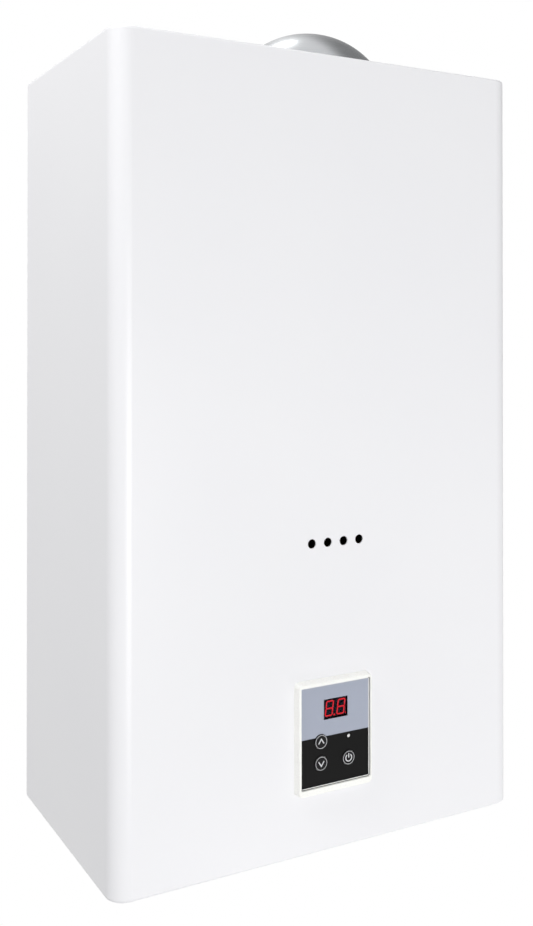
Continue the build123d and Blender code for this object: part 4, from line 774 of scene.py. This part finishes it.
# Pan-head screws with a cross recess, in place of the plain ones on the cover and the flue flange. Each
# screw is driven to its own turn, in radians. The flue's angles are in degrees.
panHead = {"headRadiusMm": 3.8, "headMm": 2.2, "sides": 40, "edgeMm": 0.9, "edgeSteps": 4,
           "shankRadiusMm": 1.9, "shankMm": 7.0,
           "slotMm": 0.9, "slotReachMm": 2.1, "slotDepthMm": 1.1, "slotTaper": 0.75,
           "turns": (0.3, 1.1, 0.7, 0.1), "flueCircleMm": 47.0, "flueAngles": (30, 150, 270)}


def crossRecess(head):
    reach = 2 * panHead["slotReachMm"]
    for width, length in ((panHead["slotMm"], reach), (reach, panHead["slotMm"])):
        clearSelection()
        bpy.ops.mesh.primitive_cube_add(size=1.0, location=(0, 0, panHead["headMm"] * mm))
        cutter = bpy.context.object
        cutter.scale = (width * mm, length * mm, 2 * panHead["slotDepthMm"] * mm)
        settle(cutter)
        bpy.ops.object.mode_set(mode="EDIT")
        pickFaces(facesDown)
        taper = panHead["slotTaper"]
        bpy.ops.transform.resize(value=(taper, taper, 1.0), center_override=(0, 0, 0))
        bpy.ops.object.mode_set(mode="OBJECT")
        cut = head.modifiers.new("recess", "BOOLEAN")
        cut.operation = "DIFFERENCE"
        cut.solver = "EXACT"
        cut.object = cutter
        bpy.context.view_layer.objects.active = head
        bpy.ops.object.modifier_apply(modifier="recess")
        bpy.data.objects.remove(cutter)


def panScrew(shankLength):
    # one screw on the origin: the head stands on z = 0 and the shank hangs below
    radius = panHead["headRadiusMm"] * mm
    height = panHead["headMm"] * mm
    clearSelection()
    bpy.ops.mesh.primitive_cylinder_add(vertices=panHead["sides"], radius=radius, depth=height,
                                        location=(0, 0, height / 2))
    screw = bpy.context.object
    settle(screw)
    bpy.ops.object.mode_set(mode="EDIT")
    pickFaces(facesUp)
    bpy.ops.mesh.bevel(offset=panHead["edgeMm"] * mm, segments=panHead["edgeSteps"], affect="EDGES")
    pickFaces(facesDown)
    bpy.ops.mesh.inset(thickness=radius - panHead["shankRadiusMm"] * mm)
    bpy.ops.mesh.extrude_region_move(TRANSFORM_OT_translate={"value": (0, 0, -shankLength)})
    bpy.ops.object.mode_set(mode="OBJECT")
    crossRecess(screw)
    return screw


def layScrews(node, name, seats, shankLength):
    # seats are places with +1 for a head above the sheet and -1 for one below
    master = panScrew(shankLength)
    screws = []
    for index, (place, side) in enumerate(seats):
        tip = 0.0 if side > 0 else math.pi
        screws.append(setCopy(master, place, (tip, 0, panHead["turns"][index])))
    bpy.data.objects.remove(master)
    whole = joinPieces(screws, name)
    bpy.ops.object.shade_smooth_by_angle(angle=smoothAngle)
    finishPiece(whole, slotMaterials["plated_screw_steel"], "heater")
    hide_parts(node)


def buildScrews():
    low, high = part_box("cover_screws")
    sheetZ = high.z - panHead["headMm"] * mm
    inset = panHead["headRadiusMm"] * mm
    seats = []
    for side in (1, -1):
        for x in (low.x + inset, high.x - inset):
            seats.append((Vector((x, (low.y + high.y) / 2, side * sheetZ)), side))
    layScrews("cover_screws", "coverPanScrews", seats, panHead["shankMm"] * mm)
    capLow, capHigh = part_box("rain_cap")
    axis = (capLow + capHigh) / 2
    low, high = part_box("flue_screws")
    flangeZ = high.z - panHead["headMm"] * mm
    circle = panHead["flueCircleMm"] * mm
    seats = []
    for angle in panHead["flueAngles"]:
        turn = math.radians(angle)
        x = axis.x + circle * math.cos(turn)
        y = axis.y + circle * math.sin(turn)
        seats.append((Vector((x, y, flangeZ)), 1))
    layScrews("flue_screws", "fluePanScrews", seats, flangeZ - low.z)


buildScrews()
print("screws done")

# Pipe threads on the three fittings: the plain stub turned down to the root, with a ridge round it. The
# ridge's foot is sunk a little into the stub.
pipeThread = {"crestMm": 10.48, "rootMm": 9.4, "stubMm": 20.0, "pitchMm": 1.81, "turns": 9, "leadMm": 1.6,
              "baseMm": 1.55, "tipShare": 0.3, "steps": 36, "sinkMm": 0.15,
              "mergeMm": 0.002, "crestSlackMm": 0.01, "endSlackMm": 0.1}


def threadRidge(axis, lowZ):
    root = (pipeThread["rootMm"] - pipeThread["sinkMm"]) * mm
    depth = pipeThread["crestMm"] * mm - root
    base = pipeThread["baseMm"] * mm
    start = (axis.x, axis.y, lowZ + pipeThread["leadMm"] * mm)
    clearSelection()
    bpy.ops.mesh.primitive_plane_add(size=1.0, location=start, rotation=facingFront)
    ridge = bpy.context.object
    ridge.scale = (depth, base, 1.0)
    bpy.ops.object.transform_apply(location=False, rotation=True, scale=True)
    bpy.ops.object.mode_set(mode="EDIT")
    bpy.ops.mesh.select_all(action="SELECT")
    bpy.ops.transform.translate(value=(root + depth / 2, 0, 0))
    pickEdges(lambda middle: middle.x > root + nearEnd * depth)
    bpy.ops.transform.resize(value=(1, 1, pipeThread["tipShare"]), center_override=start)
    bpy.ops.mesh.select_all(action="SELECT")
    bpy.ops.mesh.delete(type="ONLY_FACE")
    bpy.ops.object.mode_set(mode="OBJECT")
    run = ridge.modifiers.new("run", "SCREW")
    run.axis = "Z"
    run.screw_offset = pipeThread["pitchMm"] * mm
    run.iterations = pipeThread["turns"]
    run.steps = pipeThread["steps"]
    run.render_steps = pipeThread["steps"]
    bpy.ops.object.modifier_apply(modifier="run")
    settle(ridge)
    bpy.ops.object.mode_set(mode="EDIT")
    bpy.ops.mesh.select_all(action="SELECT")
    bpy.ops.mesh.fill_holes(sides=0)
    bpy.ops.mesh.select_all(action="SELECT")
    bpy.ops.mesh.normals_make_consistent(inside=False)
    bpy.ops.object.mode_set(mode="OBJECT")
    return ridge


def buildFitting(node, name):
    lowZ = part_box(node)[0].z
    mesh = nodes[node].data.copy()
    slack = pipeThread["endSlackMm"] * mm
    ends = [point.co for point in mesh.vertices if point.co.z < lowZ + slack]
    axis = Vector(((min(p.x for p in ends) + max(p.x for p in ends)) / 2,
                   (min(p.y for p in ends) + max(p.y for p in ends)) / 2, 0.0))
    stubTop = lowZ + pipeThread["stubMm"] * mm + slack
    stub = bpy.data.objects.new(name, mesh)
    bpy.context.scene.collection.objects.link(stub)
    settle(stub)
    bpy.ops.mesh.customdata_custom_splitnormals_clear()
    bpy.ops.object.mode_set(mode="EDIT")
    bpy.ops.mesh.select_all(action="SELECT")
    bpy.ops.mesh.remove_doubles(threshold=pipeThread["mergeMm"] * mm)
    inner = (pipeThread["rootMm"] + pipeThread["crestMm"]) * mm / 2
    outer = (pipeThread["crestMm"] + pipeThread["crestSlackMm"]) * mm
    pickPoints(lambda spot: spot.z < stubTop and inner < (spot - axis).xy.length < outer)
    thin = pipeThread["rootMm"] / pipeThread["crestMm"]
    bpy.ops.transform.resize(value=(thin, thin, 1.0), center_override=axis)
    bpy.ops.object.mode_set(mode="OBJECT")
    whole = joinPieces([stub, threadRidge(axis, lowZ)], name)
    bpy.ops.object.shade_smooth_by_angle(angle=smoothAngle)
    finishPiece(whole, slotMaterials["brass"], "heater")
    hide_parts(node)


buildFitting("water_inlet_fitting", "coldInletThreaded")
buildFitting("water_outlet_fitting", "hotOutletThreaded")
buildFitting("gas_inlet_fitting", "gasInletThreaded")
print("threaded fittings done")

# Camera as the photograph was taken, from the pixels of the casing's edges and the panel
photoView = {"imageSize": (533, 926), "focalPixels": 1077.56, "centrePixels": (272.24, 331.26),
             "sensorMm": 36.0, "turn": 28.925, "tilt": 0.399, "placeMm": (-433.4, -896.1, 84.6)}


def setCamera():
    width, height = photoView["imageSize"]
    lens = bpy.data.cameras.new("photoCamera")
    lens.sensor_fit = "AUTO"
    lens.sensor_width = photoView["sensorMm"]
    lens.lens = photoView["focalPixels"] / height * lens.sensor_width
    lens.shift_x = (width / 2 - photoView["centrePixels"][0]) / height
    lens.shift_y = (photoView["centrePixels"][1] - height / 2) / height
    camera = bpy.data.objects.new("photoCamera", lens)
    camera.location = Vector(photoView["placeMm"]) * mm
    camera.rotation_euler = (math.radians(90 + photoView["tilt"]), 0.0, -math.radians(photoView["turn"]))
    bpy.context.scene.collection.objects.link(camera)
    bpy.context.scene.camera = camera


setCamera()
print("camera set")

# Soft studio: a lamp in front, one high on the left, a small one low in front, one over the flue,
# an even sky and a pale floor. The flags are soft-edged dark cards that only gloss sees: at the right
# and behind for the flue cap, and in front for the display window. Lengths here are in metres unless
# they say otherwise. A lamp has its place, size and power, and a flag has its place, what it faces, its
# colour and the radii between which it fades out.
studio = {"skyLight": 0.45, "white": "#FFFFFF", "floorDropMm": 1500, "floorMm": 9000,
          "floorColour": "#E8E8E8", "nearMm": 350, "farMm": 780, "nearShare": 0.6, "cardShare": 2.2,
          "lamps": (("frontLamp", (0.0, -2.8, -0.4), 1.2, 28.8),
                    ("leftLamp", (-1.1, -0.3, 1.35), 1.0, 16.4),
                    ("lowLamp", (0.4, -1.0, -0.95), 0.5, 1.5),
                    ("flueLamp", (0.07, 0.92, 2.1), 0.62, 3.1)),
          "flags": (("rightFlag", (1.5, 0.2, 1.8), (0.0, 0.0, 1.8), "#909090", 0.7, 3.2),
                    ("backFlag", (1.5, 3.0, 0.5), (0.0, 0.0, 0.3), "#868686", 1.3, 3.0),
                    ("frontFlag", (0.56, -1.22, -0.54), (0.0, -0.21, -0.19), "#0C0E12", 0.12, 0.4))}


def facing(place, target):
    return (Vector(place) - Vector(target)).to_track_quat("Z", "Y").to_euler()


def addLamp(name, place, size, power):
    light = bpy.data.lights.new(name, "AREA")
    light.shape = "DISK"
    light.size = size
    light.energy = power
    lamp = bpy.data.objects.new(name, light)
    lamp.location = place
    lamp.rotation_euler = facing(place, (0, 0, 0))
    bpy.context.scene.collection.objects.link(lamp)


def addFlag(name, place, target, colour, inner, outer):
    clearSelection()
    card = studio["cardShare"] * outer
    bpy.ops.mesh.primitive_plane_add(size=card, location=place, rotation=facing(place, target))
    flag = bpy.context.object
    flag.name = name
    material, tree = newMaterial(name)
    spot = addNode(tree, "ShaderNodeTexCoord")
    away = addNode(tree, "ShaderNodeVectorMath", {"operation": "LENGTH"}, {0: spot.outputs["Object"]})
    fade = addNode(tree, "ShaderNodeMapRange",
                   {"interpolation_type": "SMOOTHSTEP", "From Min": inner, "From Max": outer},
                   {"Value": away.outputs["Value"]})
    tone = addNode(tree, "ShaderNodeMix", {"data_type": "RGBA", 6: hexColour(colour),
                                           7: hexColour(studio["white"])}, {0: fade.outputs[0]})
    shade = addNode(tree, "ShaderNodeEmission", {"Strength": 1.0}, {"Color": tone.outputs[2]})
    addNode(tree, "ShaderNodeOutputMaterial", None, {"Surface": shade.outputs[0]})
    flag.data.materials.append(material)
    flag.visible_camera = False
    flag.visible_diffuse = False
    flag.visible_transmission = False
    flag.visible_shadow = False


def seenDirectly(tree):
    # 1 for rays from the camera, from gloss or through glass
    path = addNode(tree, "ShaderNodeLightPath")
    direct = addNode(tree, "ShaderNodeMath", {"operation": "MAXIMUM"},
                     {0: path.outputs["Is Camera Ray"], 1: path.outputs["Is Glossy Ray"]})
    return addNode(tree, "ShaderNodeMath", {"operation": "MAXIMUM"},
                   {0: direct.outputs[0], 1: path.outputs["Is Transmission Ray"]})


def addSky():
    world = bpy.data.worlds.new("studio")
    world.use_nodes = True
    tree = world.node_tree
    tree.nodes.clear()
    white = hexColour(studio["white"])
    lit = addNode(tree, "ShaderNodeBackground", {"Color": white, "Strength": studio["skyLight"]})
    shown = addNode(tree, "ShaderNodeBackground", {"Color": white, "Strength": 1.0})
    mix = addNode(tree, "ShaderNodeMixShader", None,
                  {0: seenDirectly(tree).outputs[0], 1: lit.outputs[0], 2: shown.outputs[0]})
    addNode(tree, "ShaderNodeOutputWorld", None, {"Surface": mix.outputs[0]})
    bpy.context.scene.world = world


def addFloor():
    # the shadow shows under the heater and fades to the white of the photograph further out
    clearSelection()
    floorZ = cadBox[0][2] - studio["floorDropMm"] * mm
    bpy.ops.mesh.primitive_plane_add(size=studio["floorMm"] * mm, location=(0, 0, floorZ))
    floor = bpy.context.object
    floor.name = "studioFloor"
    material, tree = newMaterial("paleFloor")
    place = addNode(tree, "ShaderNodeTexCoord")
    away = addNode(tree, "ShaderNodeVectorMath", {"operation": "LENGTH"}, {0: place.outputs["Object"]})
    fade = addNode(tree, "ShaderNodeMapRange",
                   {"From Min": studio["nearMm"] * mm, "From Max": studio["farMm"] * mm,
                    "To Min": studio["nearShare"], "To Max": 1.0}, {"Value": away.outputs["Value"]})
    share = addNode(tree, "ShaderNodeMath", {"operation": "MULTIPLY"},
                    {0: seenDirectly(tree).outputs[0], 1: fade.outputs[0]})
    matt = addNode(tree, "ShaderNodeBsdfDiffuse", {"Color": hexColour(studio["floorColour"])})
    plain = addNode(tree, "ShaderNodeEmission", {"Color": hexColour(studio["white"]), "Strength": 1.0})
    mix = addNode(tree, "ShaderNodeMixShader", None,
                  {0: share.outputs[0], 1: matt.outputs[0], 2: plain.outputs[0]})
    addNode(tree, "ShaderNodeOutputMaterial", None, {"Surface": mix.outputs[0]})
    floor.data.materials.append(material)


addSky()
addFloor()
for lamp in studio["lamps"]:
    addLamp(*lamp)
for flag in studio["flags"]:
    addFlag(*flag)
bpy.context.scene.view_settings.view_transform = "Standard"
print("studio set")
